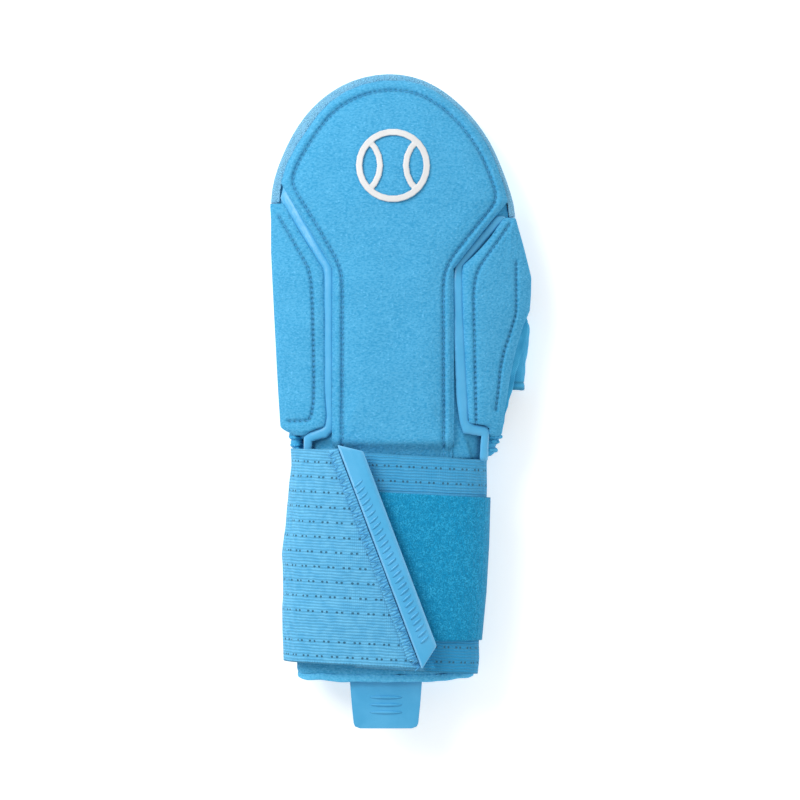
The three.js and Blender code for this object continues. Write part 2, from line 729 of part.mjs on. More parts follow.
function channelStrip(footRows, panelRows, side, topAt) {
  const outward = (y, off) => centerEdge(y, side) + side * off * channelWidth;
  const upper = panelRows.filter((row) => row.at > footRows[0].farAt + 0.01 && row.at < topAt);
  const ats = [topAt, ...upper.map((row) => row.at).reverse()].flatMap((at, i, list) => {
    const next = list[i + 1] ?? footRows[0].farAt + 0.01;
    const parts = Math.ceil(((at - next) * palmLength) / (3 * stripStep));
    return steps(parts).slice(0, parts).map((t) => mix(at, next, t));
  });
  const pairs = ats.map((at) => {
    const y = stationY(at);
    const gap = linear(panelRows, at, "gap");
    const near = clamp01((at - 0.45) / 0.1) * stripEase;
    const lean = side < 0 ? stripEase : Math.max(stripEase, near + (gap - 1) * 0.8);
    return [[outward(y, gap - stripEase), y], [outward(y, lean), y]];
  });
  const foot = footRows.map((row) => {
    const [farY, nearY] = [stationY(row.farAt), stationY(row.nearAt)];
    return [[outward(farY, row.far), farY], [outward(nearY, row.near), nearY]];
  });
  foot.forEach((pair, i) => {
    if (i === 0) {
      pairs.push(pair);
      return;
    }
    const before = foot[i - 1];
    const span = (e) => Math.hypot(pair[e][0] - before[e][0], pair[e][1] - before[e][1]);
    const run = Math.max(span(0), span(1));
    const parts = Math.ceil(run / stripStep);
    for (const t of steps(parts).slice(1)) {
      pairs.push([0, 1].map((e) => [0, 1].map((c) => mix(before[e][c], pair[e][c], t))));
    }
  });
  const rings = pairs.map(([far, near]) => {
    const at = (t, lift) => {
      const [x, y] = [mix(far[0], near[0], t), mix(far[1], near[1], t)];
      return [x, y, backZ(x, y) + lift * stripThickness];
    };
    return [at(0, 0), at(0, 0.6), at(0.22, 1), at(0.78, 1), at(1, 0.6), at(1, 0), at(0.5, 0)];
  });
  return loft(rings);
}
addPiece("channel_strip_left", channelStrip(leftFootRows, leftRows, -1, 0.99), rubberBlue);
addPiece("channel_strip_right", channelStrip(rightFootRows, rightRows, 1, 0.93), rubberBlue);

// Thumb sleeve, open towards the wrist, and the fabric fold above it.
const sleeveRows = [
  { at: 0, right: 0.953, height: 0.96 },
  { at: 0.3, right: 0.957, height: 1.0 },
  { at: 0.55, right: 0.985, height: 1.0 },
  { at: 0.7, right: 0.993, height: 0.96 },
  { at: 0.85, right: 0.98, height: 0.8 },
  { at: 1, right: 0.9, height: 0.5 },
];
const sleeveEase = 1.6 * layerGap;
const sleeveLift = 0.4 * layerGap;
function sleeveRing(t, inset) {
  const y = sleeveMouthY + t * (sleeveLength - inset);
  const left = bodyEdges(y)[1] + sleeveEase + inset;
  const right = Math.max(left, halfWidth * smooth(sleeveRows, t, "right") - inset);
  const tall = sleeveHeight * smooth(sleeveRows, t, "height") - 2 * inset;
  const round = t < 0.75 ? 1 : Math.sqrt(1 - ((t - 0.75) / 0.25) ** 2);
  const power = 2 / 2.6;
  const ring = [];
  for (let k = 0; k < 20; k += 1) {
    const turn = (2 * Math.PI * k) / 20;
    const [c, s] = [Math.cos(turn), Math.sin(turn)];
    const x = (left + right) / 2 + ((right - left) / 2) * round * Math.sign(c) * Math.abs(c) ** power;
    const z = sleeveLift + inset + tall / 2 + (tall / 2) * round * Math.sign(s) * Math.abs(s) ** power;
    ring.push([x, y, z]);
  }
  return ring;
}
function thumbSleeve() {
  const stations = [0, 0.12, 0.25, 0.4, 0.55, 0.7, 0.8, 0.89, 0.96, 1];
  const outer = stations.map((t) => sleeveRing(t, 0));
  const inner = stations.map((t) => sleeveRing(t, sleeveWall));
  return loft([...inner.reverse(), ...outer]);
}
addPiece("thumb_sleeve", thumbSleeve(), fabricBlue);

const gussetRows = [
  { at: 0.06, over: 0.01 },
  { at: 0.12, over: 0.012 },
  { at: 0.25, over: 0.04 },
  { at: 0.4, over: 0.062 },
  { at: 0.47, over: 0.064 },
  { at: 0.53, over: 0.01 },
];
function thumbGusset() {
  const ys = steps(11).map((t) => stationY(mix(0.06, 0.53, t)));
  const place = (u, v) => {
    const y = ys[Math.round(v * (ys.length - 1))];
    const panel = backEdges(y)[1];
    const inner = Math.max(bodyEdges(y)[1] + layerGap, panel - gussetHang);
    return [mix(inner, panel + halfWidth * linear(gussetRows, stationOf(y), "over"), u), y];
  };
  const lift = 0.2 * layerGap;
  const high = (u, v) => [...place(u, v), topZ(...place(u, v)) - lift];
  const low = (u, v) => [...place(u, v), topZ(...place(u, v)) - lift - gussetThickness];
  return slab(3, steps(ys.length - 1), low, high);
}
addPiece("thumb_gusset", thumbGusset(), fabricBlue);

// The strap goes once round the wrist and over itself. Turn runs from 0 at the left edge over the
// top to 0.5 at the right edge and on below to 1. Each layer lies farther out than the one below.
const endLayer = strapThickness + patchThickness + 3 * layerGap;
function wrapPoint(turn, y, out) {
  const [left, right] = bodyEdges(y, -out);
  const middle = (left + right) / 2;
  const half = (right - left) / 2;
  const part = turn - Math.floor(turn);
  if (part < 0.5) {
    const x = middle - half * Math.cos(2 * Math.PI * part);
    return [x, y, topZ(x, y, -out)];
  }
  const x = middle + half * Math.cos(2 * Math.PI * (part - 0.5));
  const tuck = halfWidth * linear(bodyRows, stationOf(y), "tuck") + out;
  const edgeZ = topZ(x > middle ? right : left, y, -out);
  return [x, y, tuckZ(edgeZ, Math.max(0, floorZ(y) - out), tuck, half - Math.abs(x - middle))];
}

// Turn at which a point of the top lies.
function turnOf(x, y, out) {
  const [left, right] = bodyEdges(y, -out);
  const share = Math.max(-1, Math.min(1, (2 * x - left - right) / (right - left)));
  return Math.acos(-share) / (2 * Math.PI);
}

// Left edge of the bar, which runs slanting over the end of the strap.
const barTopY = strapY + barTopRise;
const barFootY = strapY - barDrop;
const barSlope = (barFootX - barTopX) / (barTopY - barFootY);
const barLeftX = (y) => barTopX - barWidth / 2 + (barTopY - y) * barSlope;

const strapStart = 0.19;
const strapTurns = 56;
const rising = (turn) => clamp01((turn - 0.72) / 0.3);
const wrapOut = (turn) => strapEase + endLayer * rising(turn) ** 2 * (3 - 2 * rising(turn));
const endOut = strapEase + endLayer;

function strapEdgeY(x, turn, share) {
  const over = clamp01((turn - 0.85) / 0.15);
  const top = strapY - innerDrop - strapSlant * x;
  const endTop = strapY + endRise;
  const low = cuffEndY + strapShort + footRise - strapSlant * x;
  return mix(mix(top, endTop, over), low + footEase * over, share);
}

function wristStrap() {
  const place = (u, v) => {
    const guess = strapEdgeY(0, 1.2, v);
    const last = 1 + turnOf(barLeftX(guess) + barWidth * 0.55, guess, endOut);
    const turn = mix(strapStart, last, u);
    const [x] = wrapPoint(turn, strapY - wristLength / 2, 0);
    return [turn, strapEdgeY(x, turn, v)];
  };
  const low = (u, v) => {
    const [turn, y] = place(u, v);
    return wrapPoint(turn, y, wrapOut(turn));
  };
  const high = (u, v) => {
    const [turn, y] = place(u, v);
    return wrapPoint(turn, y, wrapOut(turn) + strapThickness);
  };
  return slab(strapTurns, 4, low, high);
}
addPiece("wrist_strap", wristStrap(), elasticBlue);

function loopPatch() {
  const from = strapEase + strapThickness + layerGap;
  const place = (u, v) => {
    const turn = mix(0.215, 0.6, u);
    const [x] = wrapPoint(turn, strapY - wristLength / 2, 0);
    const top = strapY - patchTop - strapSlant * x;
    return [turn, mix(top, top - patchLength + strapSlant * x, v)];
  };
  const low = (u, v) => wrapPoint(...place(u, v), from);
  const high = (u, v) => wrapPoint(...place(u, v), from + patchThickness);
  return slab(20, 3, low, high);
}
addPiece("loop_patch", loopPatch(), patchBlue);

// Pieces on the strap's end, rows down the slanted bar.
const onEnd = endOut + strapThickness;
function slantPiece(width, thickness, leftOf, topRise, footRise, columns) {
  const place = (u, v) => {
    const top = barTopY + mix(...topRise, u);
    const foot = barFootY + mix(...footRise, u);
    const y = mix(top, foot, v);
    return [leftOf(y) + u * width, y];
  };
  const low = (u, v) => [...place(u, v), topZ(...place(u, v), -onEnd) + layerGap];
  const round = (u) => 1 - 0.45 * Math.abs(2 * u - 1) ** 6;
  const high = (u, v) => [...place(u, v), topZ(...place(u, v), -onEnd) + layerGap + thickness * round(u)];
  return slab(columns, 8, low, high);
}
const barEnds = [barTopSlant, barFootSlant].map(({ left, right }) => [left, right]);
const barAcross = [0, 0.1, 0.5, 0.85, 1];
const bar = slantPiece(1.08 * barWidth, barThickness, barLeftX, ...barEnds, barAcross);
addPiece("pull_bar", bar, rubberBlue);
const edgingLeft = (y) => barLeftX(y) - edgingWidth - layerGap;
const edgingEnds = [[-edgingEnd, -0.7 * edgingEnd], [edgingEnd, 0.35 * edgingEnd]];
const edging = slantPiece(edgingWidth, edgingThickness, edgingLeft, ...edgingEnds, 3);
addPiece("strap_edging", edging, elasticBlue);

// Pull tab, its root sewn inside the cuff.
const tabDroop = 0.12; // fall for each millimetre outside the cuff
const tabRows = [
  { at: 0, half: 0.5 },
  { at: 0.4, half: 0.5 },
  { at: 0.7, half: 0.475 },
  { at: 0.93, half: 0.45 },
  { at: 0.975, half: 0.43 },
  { at: 1, half: 0.36 },
];
function pullTab() {
  const inside = cuffWall + hemExtra + layerGap;
  const ats = tabRows.map((row) => row.at);
  const length = tabRoot + tabDrop;
  const place = (u, v) => {
    const y = cuffEndY + tabRoot - v * length;
    const half = tabWidth * linear(tabRows, v, "half");
    return [tabX + half * (2 * u - 1), y];
  };
  const droop = (y) => tabDroop * Math.max(0, cuffEndY - y);
  const high = (u, v) => {
    const [x, y] = place(u, v);
    return [x, y, topZ(x, Math.max(y, cuffEndY), inside) - droop(y)];
  };
  const low = (u, v) => {
    const [x, y, z] = high(u, v);
    return [x, y, z - tabThickness];
  };
  return slab([0, 0.06, 0.3, 0.7, 0.94, 1], ats, low, high);
}
addPiece("pull_tab", pullTab(), rubberBlue);

// The gathers' folds run across the mitt's side.
function gather(side, fromAt, toY, outerRows) {
  const from = stationY(fromAt);
  const place = (v) => mix(from, toY, v);
  const sideZ = (y) => bodyHeight * smooth(bodyRows, stationOf(y), "side");
  const zAt = (u, y) => sideZ(y) + mix(-gatherDrop, gatherTop, u);
  const inner = (u, v) => {
    const y = place(v);
    const edge = bodyEdges(y)[side < 0 ? 0 : 1];
    return [edge + side * 1.7 * layerGap, y, zAt(u, y)];
  };
  const outer = (u, v) => {
    const y = place(v);
    const reach = halfWidth * linear(outerRows, v, "reach");
    const fold = foldDepth * Math.cos(2 * Math.PI * (gatherFolds * v + 0.35 * u));
    const round = Math.sin(Math.PI * mix(0.12, 0.88, u)) ** 0.6;
    const [x] = inner(u, v);
    const out = Math.max(2.4 * layerGap, (reach - Math.abs(x)) * round + fold * round);
    return [x + side * out, y, zAt(u, y)];
  };
  return slab(4, 5 * gatherFolds, inner, outer);
}
const leftGatherRows = [
  { at: 0, reach: 0.89 },
  { at: 1, reach: 0.83 },
];
const rightGatherRows = [
  { at: 0, reach: 0.765 },
  { at: 1, reach: 0.68 },
];
addPiece("gather_left", gather(-1, 0.055, strapY + leftGatherEnd, leftGatherRows), elasticBlue);
addPiece("gather_right", gather(1, 0.05, strapY + rightGatherEnd, rightGatherRows), elasticBlue);

// Raised ornament on the center panel: a plain ring with two seam arcs.
function centerTopZ(x, y) {
  const distance = Math.min(x - centerEdge(y, -1), centerEdge(y, 1) - x, centerTopY - y);
  return backZ(x, y) + padThickness(centerPad, Math.max(0, distance));
}

function raisedBand(path, closed, sink = 0) {
  const rings = path.map((point, i) => {
    const count = path.length;
    const before = path[closed ? (i + count - 1) % count : Math.max(0, i - 1)];
    const after = path[closed ? (i + 1) % count : Math.min(count - 1, i + 1)];
    const run = after.clone().sub(before).normalize();
    const corner = (share, lift) => {
      const x = point.x - (run.y * share * badgeWidth) / 2;
      const y = point.y + (run.x * share * badgeWidth) / 2;
      return [x, y, centerTopZ(x, y) + badgeSeat + lift - (lift ? sink : -sink)];
    };
    const bevel = closed ? 0.8 : 0.6;
    return [corner(-1, 0), corner(-bevel, badgeHeight), corner(bevel, badgeHeight), corner(1, 0)];
  });
  return loft(rings, closed);
}

function backBadge() {
  const middle = new THREE.Vector2(bodyAxisX, badgeY);
  const ring = steps(26).slice(1).map((t) => {
    const turn = 2 * Math.PI * t;
    const out = new THREE.Vector2(Math.cos(turn), Math.sin(turn));
    return out.multiplyScalar(badgeRadius).add(middle);
  });
  let solid = toManifold(raisedBand(ring, true));
  for (const side of [-1, 1]) {
    const seam = steps(6).map((t) => {
      const turn = mix(-0.27, 0.27, t) * Math.PI;
      const reach = badgeRadius * 0.98;
      const x = middle.x + side * badgeRadius * 1.36 - side * reach * Math.cos(turn);
      return new THREE.Vector2(x, middle.y + reach * Math.sin(turn));
    });
    solid = solid.add(toManifold(raisedBand(seam, false, seamSink)));
  }
  return fromManifold(solid);
}
addPiece("back_badge", backBadge(), badgeWhite);

export default mitt;
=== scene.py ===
"""Looks of a left-hand sliding mitt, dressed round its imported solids.

Lengths in the classes are millimetres. Meshes are in metres, in the frame of the solids.
"""

import logging
import math
from collections.abc import Sequence
from dataclasses import dataclass
from enum import Enum

import bpy
import numpy as np
from mathutils import Matrix, Vector
from mathutils.bvhtree import BVHTree


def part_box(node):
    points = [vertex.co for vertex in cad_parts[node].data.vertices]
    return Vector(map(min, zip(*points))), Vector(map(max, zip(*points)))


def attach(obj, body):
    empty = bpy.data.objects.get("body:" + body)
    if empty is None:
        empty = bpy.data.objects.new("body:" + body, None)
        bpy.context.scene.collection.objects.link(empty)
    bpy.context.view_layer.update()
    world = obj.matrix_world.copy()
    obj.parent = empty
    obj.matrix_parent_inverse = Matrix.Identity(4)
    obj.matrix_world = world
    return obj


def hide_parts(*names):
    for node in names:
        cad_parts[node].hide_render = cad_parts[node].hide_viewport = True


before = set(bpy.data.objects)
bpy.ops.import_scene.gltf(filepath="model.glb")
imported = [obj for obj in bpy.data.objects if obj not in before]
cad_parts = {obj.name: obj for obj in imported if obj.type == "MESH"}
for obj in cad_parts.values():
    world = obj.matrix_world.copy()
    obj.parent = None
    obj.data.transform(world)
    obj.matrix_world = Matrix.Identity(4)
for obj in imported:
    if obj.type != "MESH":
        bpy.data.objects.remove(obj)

MM = 0.001
PIXEL = 0.46
MIDDLE = (400.8, 400.3)
TINY = 1e-9
STITCH_LENGTH = 0.84
STITCH_HEIGHT = 0.8
log = logging.getLogger("mitt")

Colour = tuple[float, float, float]
Flat = tuple[float, float]


class Slot(Enum):
    """Material slots of the record."""

    KNIT = "knit_fabric"
    STRETCH = "stretch_fabric"
    RIBBED = "ribbed_elastic"
    LOOP = "brushed_loop"
    SATIN = "smooth_rubber"
    BUMPER = "bumper_rubber"
    PALE = "pale_rubber"


def traced(*pixels: Flat) -> list[Flat]:
    """Turns points of the view from above, in pixels of its frame, into millimetres.

    Args:
        pixels: points, x to the right and y down.

    Returns:
        The same points in the frame of the solids.
    """
    return [((x - MIDDLE[0]) * PIXEL, (MIDDLE[1] - y) * PIXEL) for x, y in pixels]


# Shader nodes


class Sheet:
    """A material under construction, with one Principled shader."""

    def __init__(self, name: str) -> None:
        """Starts an empty material.

        Args:
            name: the material's name.
        """
        self.material = bpy.data.materials.new(name)
        self.material.use_nodes = True
        self.tree = self.material.node_tree
        self.tree.nodes.clear()
        self.out = self.tree.nodes.new("ShaderNodeOutputMaterial")
        self.shader = self.tree.nodes.new("ShaderNodeBsdfPrincipled")
        self.tree.links.new(self.shader.outputs[0], self.out.inputs["Surface"])

    def node(self, kind: str, inputs: dict | None = None, **settings: object) -> bpy.types.Node:
        """Adds a node.

        Args:
            kind: the node's type without its leading ShaderNode.
            inputs: values or output sockets by input name or number.
            settings: attributes of the node.

        Returns:
            The new node.
        """
        made = self.tree.nodes.new("ShaderNode" + kind)
        for key, value in settings.items():
            setattr(made, key, value)
        for key, value in (inputs or {}).items():
            self.feed(made.inputs[key], value)
        return made

    def feed(self, socket: bpy.types.NodeSocket, value: object) -> None:
        """Links a socket to an output, or sets it to a plain value.

        Args:
            socket: the input to feed.
            value: an output socket or a plain value.
        """
        if isinstance(value, bpy.types.NodeSocket):
            self.tree.links.new(value, socket)
        else:
            socket.default_value = value

    def place(self) -> bpy.types.NodeSocket:
        """Gives Object coordinates."""
        return self.node("TexCoord").outputs["Object"]

    def attribute(self, name: str, vector: bool = False) -> bpy.types.NodeSocket:
        """Gives an attribute of the piece, as a number or a vector.

        Args:
            name: the attribute's name.
            vector: whether it holds vectors.

        Returns:
            The output socket.
        """
        found = self.node("Attribute", attribute_name=name)
        return found.outputs["Vector" if vector else "Fac"]

    def calc(self, operation: str, *terms: object) -> bpy.types.NodeSocket:
        """Gives the result of a Math node on sockets or numbers."""
        return self.node("Math", dict(enumerate(terms)), operation=operation).outputs[0]

    def noise(self, at: object, scale: float, detail: float = 2.0) -> bpy.types.NodeSocket:
        """Gives a noise value.

        Args:
            at: the place's socket, in metres.
            scale: cells of the noise per metre.
            detail: how many finer layers are added.

        Returns:
            The output socket.
        """
        return self.node(
            "TexNoise", {"Vector": at, "Scale": scale, "Detail": detail}
        ).outputs["Fac"]

    def cells(self, at: object, scale: float, feature: str = "F1") -> bpy.types.NodeSocket:
        """Gives the distance in a Voronoi pattern.

        Args:
            at: the place's socket, in metres.
            scale: cells per metre.
            feature: which distance is measured.

        Returns:
            The output socket.
        """
        return self.node(
            "TexVoronoi", {"Vector": at, "Scale": scale}, feature=feature
        ).outputs["Distance"]

    def ramp(self, value: object, low: float, high: float) -> bpy.types.NodeSocket:
        """Gives 0 below low, 1 above high and a smooth rise between them.

        Args:
            value: the socket to read.
            low: where the rise begins.
            high: where it ends.

        Returns:
            The output socket.
        """
        return self.node(
            "MapRange",
            {"Value": value, "From Min": low, "From Max": high},
            interpolation_type="SMOOTHSTEP",
        ).outputs[0]

    def blend(self, share: object, a: object, b: object) -> bpy.types.NodeSocket:
        """Gives a colour between two.

        Args:
            share: how much of b it holds, from 0 to 1.
            a: the first colour, a socket or a value.
            b: the second colour.

        Returns:
            The output socket.
        """
        mix = self.node("Mix", data_type="RGBA")
        self.feed(mix.inputs[0], share)
        for socket, value in ((mix.inputs[6], a), (mix.inputs[7], b)):
            self.feed(socket, value if isinstance(value, bpy.types.NodeSocket) else (*value, 1.0))
        return mix.outputs[2]

    def bump(self, height: object, depth: float) -> bpy.types.NodeSocket:
        """Gives a normal from a height of 0 to 1 that stands for depth millimetres."""
        made = self.node("Bump", {"Height": height, "Strength": 1.0, "Distance": depth * MM})
        return made.outputs["Normal"]

    def finish(
        self,
        colour: object,
        normal: object,
        roughness: float,
        sheen: float = 0.0,
        specular: float = 0.5,
        tint: Colour = (1.0, 1.0, 1.0),
    ) -> bpy.types.Material:
        """Feeds the shader and gives the material.

        Args:
            colour: the base colour's socket.
            normal: the normal's socket.
            roughness: roughness of the surface.
            sheen: weight of the fibre sheen.
            specular: level of the plain gloss.
            tint: colour of the sheen.

        Returns:
            The finished material.
        """
        put = self.shader.inputs
        self.feed(put["Base Color"], colour)
        self.feed(put["Normal"], normal)
        put["Roughness"].default_value = roughness
        put["Specular IOR Level"].default_value = specular
        put["Sheen Weight"].default_value = sheen
        put["Sheen Roughness"].default_value = 0.45
        put["Sheen Tint"].default_value = (*tint, 1.0)
        return self.material


@dataclass(frozen=True)
class Finish:
    """What all finishes share: a name, a colour and a darker shade of it."""

    name: str
    colour: Colour
    shade: Colour

    def dark(self, share: float) -> Colour:
        """Gives the shade at a share of its brightness."""
        return tuple(share * c for c in self.shade)

    def light(self, gain: float, lift: float) -> Colour:
        """Gives the colour brightened, each channel at most 1."""
        return tuple(min(1.0, gain * c + lift) for c in self.colour)

    def cloudy(
        self, s: Sheet, scale: float, detail: float = 4.0, low: float = 0.3, high: float = 0.7
    ) -> bpy.types.NodeSocket:
        """Gives a slow change between the shade and the colour.

        Args:
            s: the material.
            scale: cells of the change per metre.
            detail: how many finer layers it has.
            low: noise below which the shade is plain.
            high: noise above which the colour is plain.

        Returns:
            The tone's socket.
        """
        return s.blend(s.ramp(s.noise(s.place(), scale, detail), low, high), self.shade, self.colour)

    def creased(self, s: Sheet, tone: object, share: float) -> bpy.types.NodeSocket:
        """Darkens a tone to a share of the shade where the piece marks painted shade, as in grooves, gaps
        and hollows.
        """
        return s.blend(s.attribute("crease"), tone, self.dark(share))


@dataclass(frozen=True)
class KnitFinish(Finish):
    """Fine napped knit, heathered, with painted shade in the seams' grooves and wherever a piece marks it.
    """

    pile: float = 0.3
    loop: float = 0.8
    sheen: float = 0.25
    fleck_share: float = 0.86

    def make(self) -> bpy.types.Material:
        """Builds the knit from rows of small loops under a soft nap.

        Returns:
            The material.
        """
        s = Sheet(self.name)
        at = s.place()
        loops = s.cells(at, 1000 / self.loop, "SMOOTH_F1")
        nap = s.noise(at, 950, 3)
        patches = s.noise(at, 90, 3)
        brushed = s.node("Mapping", {"Vector": at, "Scale": (0.75, 1.5, 1.0)}).outputs[0]
        fleck = s.noise(brushed, 980, 2)
        heather = s.calc(
            "ADD",
            s.calc("MULTIPLY", patches, 1 - self.fleck_share),
            s.calc("MULTIPLY", fleck, self.fleck_share),
        )
        tone = s.blend(s.ramp(heather, 0.3, 0.64), self.shade, self.colour)
        tip = s.calc("MULTIPLY", s.ramp(nap, 0.58, 0.72), 0.5)
        tone = s.blend(tip, tone, self.light(1.25, 0.06))
        height = s.calc("ADD", s.calc("MULTIPLY", loops, -0.5), nap)
        return s.finish(
            self.creased(s, tone, 0.32),
            s.bump(height, self.pile),
            roughness=0.92,
            sheen=self.sheen,
            specular=0.2,
            tint=(0.3, 0.75, 1.0),
        )


@dataclass(frozen=True)
class StretchFinish(Finish):
    """Smooth stretch knit with a faint diagonal twill."""

    threads: float = 420.0
    slant: float = 0.7

    def make(self) -> bpy.types.Material:
        """Builds the cloth from two crossed sets of very fine threads.

        Returns:
            The material.
        """
        s = Sheet(self.name)
        turned = s.node("Mapping", {"Vector": s.place(), "Rotation": (0.0, 0.0, self.slant)}).outputs[0]
        warp, weft = (
            s.node(
                "TexWave",
                {"Vector": turned, "Scale": self.threads, "Distortion": 0.6},
                bands_direction=direction,
            ).outputs["Fac"]
            for direction in ("X", "Y")
        )
        weave = s.calc("MULTIPLY", s.calc("ADD", warp, weft), 0.5)
        return s.finish(
            self.creased(s, self.cloudy(s, 160), 0.35),
            s.bump(weave, 0.1),
            roughness=0.72,
            sheen=0.2,
            specular=0.3,
            tint=(0.3, 0.75, 1.0),
        )


@dataclass(frozen=True)
class RibFinish(Finish):
    """Ribbed elastic with rows of paired perforations, drawn on its own weave attribute."""

    rib: float = 1.36
    row: float = 6.8
    pair: float = 6.0
    gap: float = 2.0
    hole: float = 0.45
    first: float = 4.64
    yarn: float = 0.75
    wander: float = 1.1
    # colour of the painted shade over the strap past the bar's slanted end
    inner: Colour = (0.015, 0.3, 0.6)

    def wave(self, s: Sheet, way: object, length: float) -> bpy.types.NodeSocket:
        """Gives a wave from 0 to 1 that repeats after a length in millimetres."""
        phase = s.calc("MULTIPLY", way, math.tau / length)
        return s.calc("MULTIPLY_ADD", s.calc("SINE", phase), 0.5, 0.5)

    def holes(self, s: Sheet, along: object, across: object) -> bpy.types.NodeSocket:
        """Gives 1 inside the perforations, which lie in pairs in staggered rows.

        Args:
            s: the material.
            along: the weave's first axis.
            across: its second axis.

        Returns:
            The output socket.
        """
        line = s.calc("DIVIDE", s.calc("SUBTRACT", across, self.first), self.row)
        number = s.calc("FLOOR", line)
        drop = s.calc("MULTIPLY", s.calc("SUBTRACT", s.calc("SUBTRACT", line, number), 0.5), self.row)
        shift = s.calc("MULTIPLY", s.calc("MODULO", s.calc("ABSOLUTE", number), 2.0), self.pair / 2)
        place = s.calc("ADD", along, shift)
        within = s.calc("PINGPONG", place, self.pair / 2)
        side = s.calc("SUBTRACT", within, self.gap / 2)
        away = s.calc(
            "SQRT", s.calc("ADD", s.calc("MULTIPLY", side, side), s.calc("MULTIPLY", drop, drop))
        )
        inside = s.calc("SUBTRACT", 1.0, s.ramp(away, self.hole * 0.7, self.hole * 1.35))
        return s.calc("MULTIPLY", inside, s.attribute("pierced"))

    def make(self) -> bpy.types.Material:
        """Builds the ribs along the weave's first axis, and the perforations between them.

        Returns:
            The material.
        """
        s = Sheet(self.name)
        split = s.node("SeparateXYZ", {0: s.attribute("weave", True)})
        along, across = split.outputs[0], split.outputs[1]
        shift = s.calc("MULTIPLY", s.noise(s.place(), 180, 4), self.wander)
        ribs = self.wave(s, s.calc("ADD", across, shift), self.rib)
        grain = self.wave(s, along, self.yarn)
        pierced = self.holes(s, along, across)
        # painted shade: darker and bluer where the piece marks it as inner
        tone = s.blend(s.attribute("inner"), self.cloudy(s, 300), self.inner)
        # painted shade in the valleys between the ribs
        valley = s.calc("MULTIPLY", s.ramp(ribs, 0.45, 0.0), 0.55)
        tone = s.blend(valley, tone, self.dark(0.6))
        # painted shade inside the perforations, and where the piece marks painted shade
        tone = s.blend(s.calc("MAXIMUM", pierced, s.attribute("crease")), tone, self.dark(0.36))
        height = s.calc("ADD", ribs, s.calc("MULTIPLY", grain, 0.3))
        height = s.calc("SUBTRACT", height, s.calc("MULTIPLY", pierced, 1.6))
        return s.finish(
            tone, s.bump(height, 0.27), roughness=0.8, sheen=0.2, specular=0.3, tint=(0.4, 0.8, 1.0)
        )


@dataclass(frozen=True)
class LoopFinish(Finish):
    """Brushed loop pile, with painted shade between its tufts."""

    curls: float = 1700.0
    bend: float = 0.0012

    def make(self) -> bpy.types.Material:
        """Builds the pile from curled fibres over a soft cloud of worn tone.

        Returns:
            The material.
        """
        s = Sheet(self.name)
        at = s.place()
        swirl = s.node("TexNoise", {"Vector": at, "Scale": 700.0}).outputs["Color"]
        pull = s.node("VectorMath", {0: swirl, "Scale": self.bend}, operation="SCALE").outputs[0]
        bent = s.node("VectorMath", {0: at, 1: pull}, operation="ADD").outputs[0]
        curl = s.cells(bent, self.curls, "SMOOTH_F1")
        fluff = s.noise(bent, 2600, 4)
        tuft = s.ramp(s.calc("ADD", s.calc("MULTIPLY", curl, -0.8), fluff), 0.0, 0.42)
        # painted shade between the tufts
        tone = s.blend(tuft, self.dark(0.72), self.cloudy(s, 420, low=0.25, high=0.75))
        height = s.calc("ADD", s.calc("MULTIPLY", curl, -0.7), fluff)
        return s.finish(
            self.creased(s, tone, 0.3),
            s.bump(height, 0.26),
            roughness=0.95,
            sheen=0.3,
            specular=0.15,
            tint=(0.5, 0.8, 1.0),
        )


@dataclass(frozen=True)
class ReliefFinish(Finish):
    """Moulded rubber with a fine mesh relief inside a smooth border."""

    pitch: float = 1.25
    slant: float = 0.6

    def make(self) -> bpy.types.Material:
        """Builds the relief from small cells that lie slantwise, kept off the border.

        Returns:
            The material.
        """
        s = Sheet(self.name)
        at = s.place()
        turned = s.node(
            "Mapping", {"Vector": at, "Rotation": (0.0, 0.0, self.slant), "Scale": (1.0, 1.6, 1.0)}
        ).outputs[0]
        lattice = s.ramp(s.cells(turned, 1000 / self.pitch), 0.18, 0.62)
        low = s.calc("MULTIPLY", lattice, s.attribute("relief"))
        # painted shade in the relief's low cells
        tone = s.blend(s.calc("MULTIPLY", low, 0.75), self.cloudy(s, 120), self.dark(0.6))
        grain = s.calc("MULTIPLY", s.noise(at, 1800, 2), 0.1)
        height = s.calc("ADD", s.calc("MULTIPLY", low, -1.0), grain)
        return s.finish(
            self.creased(s, tone, 0.4), s.bump(height, 0.5), roughness=0.55, specular=0.45
        )


@dataclass(frozen=True)
class RubberFinish(Finish):
    """Satin moulded rubber with a faint grain and a painted highlight where a piece marks it."""

    roughness: float = 0.42
    grain: float = 0.04
    # share of the painted highlight
    highlight_gain: float = 0.55

    def make(self) -> bpy.types.Material:
        """Builds the rubber from a fine grain and a slow change of tone.

        Returns:
            The material.
        """
        s = Sheet(self.name)
        grain = s.noise(s.place(), 2400, 3)
        # painted highlight: lighter where the piece marks it
        rubbed = s.calc("MULTIPLY", s.attribute("rubbed"), self.highlight_gain)
        tone = s.blend(rubbed, self.cloudy(s, 90, 3), self.light(1.0, 0.22))
        return s.finish(self.creased(s, tone, 0.4), s.bump(grain, self.grain), self.roughness)


@dataclass(frozen=True)
class ThreadFinish(Finish):
    """Twisted sewing thread."""

    twist: float = 900.0

    def make(self) -> bpy.types.Material:
        """Builds the thread from the fine stripes of its twist.

        Returns:
            The material.
        """
        s = Sheet(self.name)
        stripes = s.node(
            "TexWave",
            {"Vector": s.place(), "Scale": self.twist, "Distortion": 1.5},
            bands_direction="DIAGONAL",
        ).outputs["Fac"]
        # painted shade in the grooves of the twist, along the stripes that also make the bump
        tone = s.blend(stripes, self.shade, self.colour)
        return s.finish(tone, s.bump(stripes, 0.06), roughness=0.6, sheen=0.2, specular=0.4)


# Shaping tools


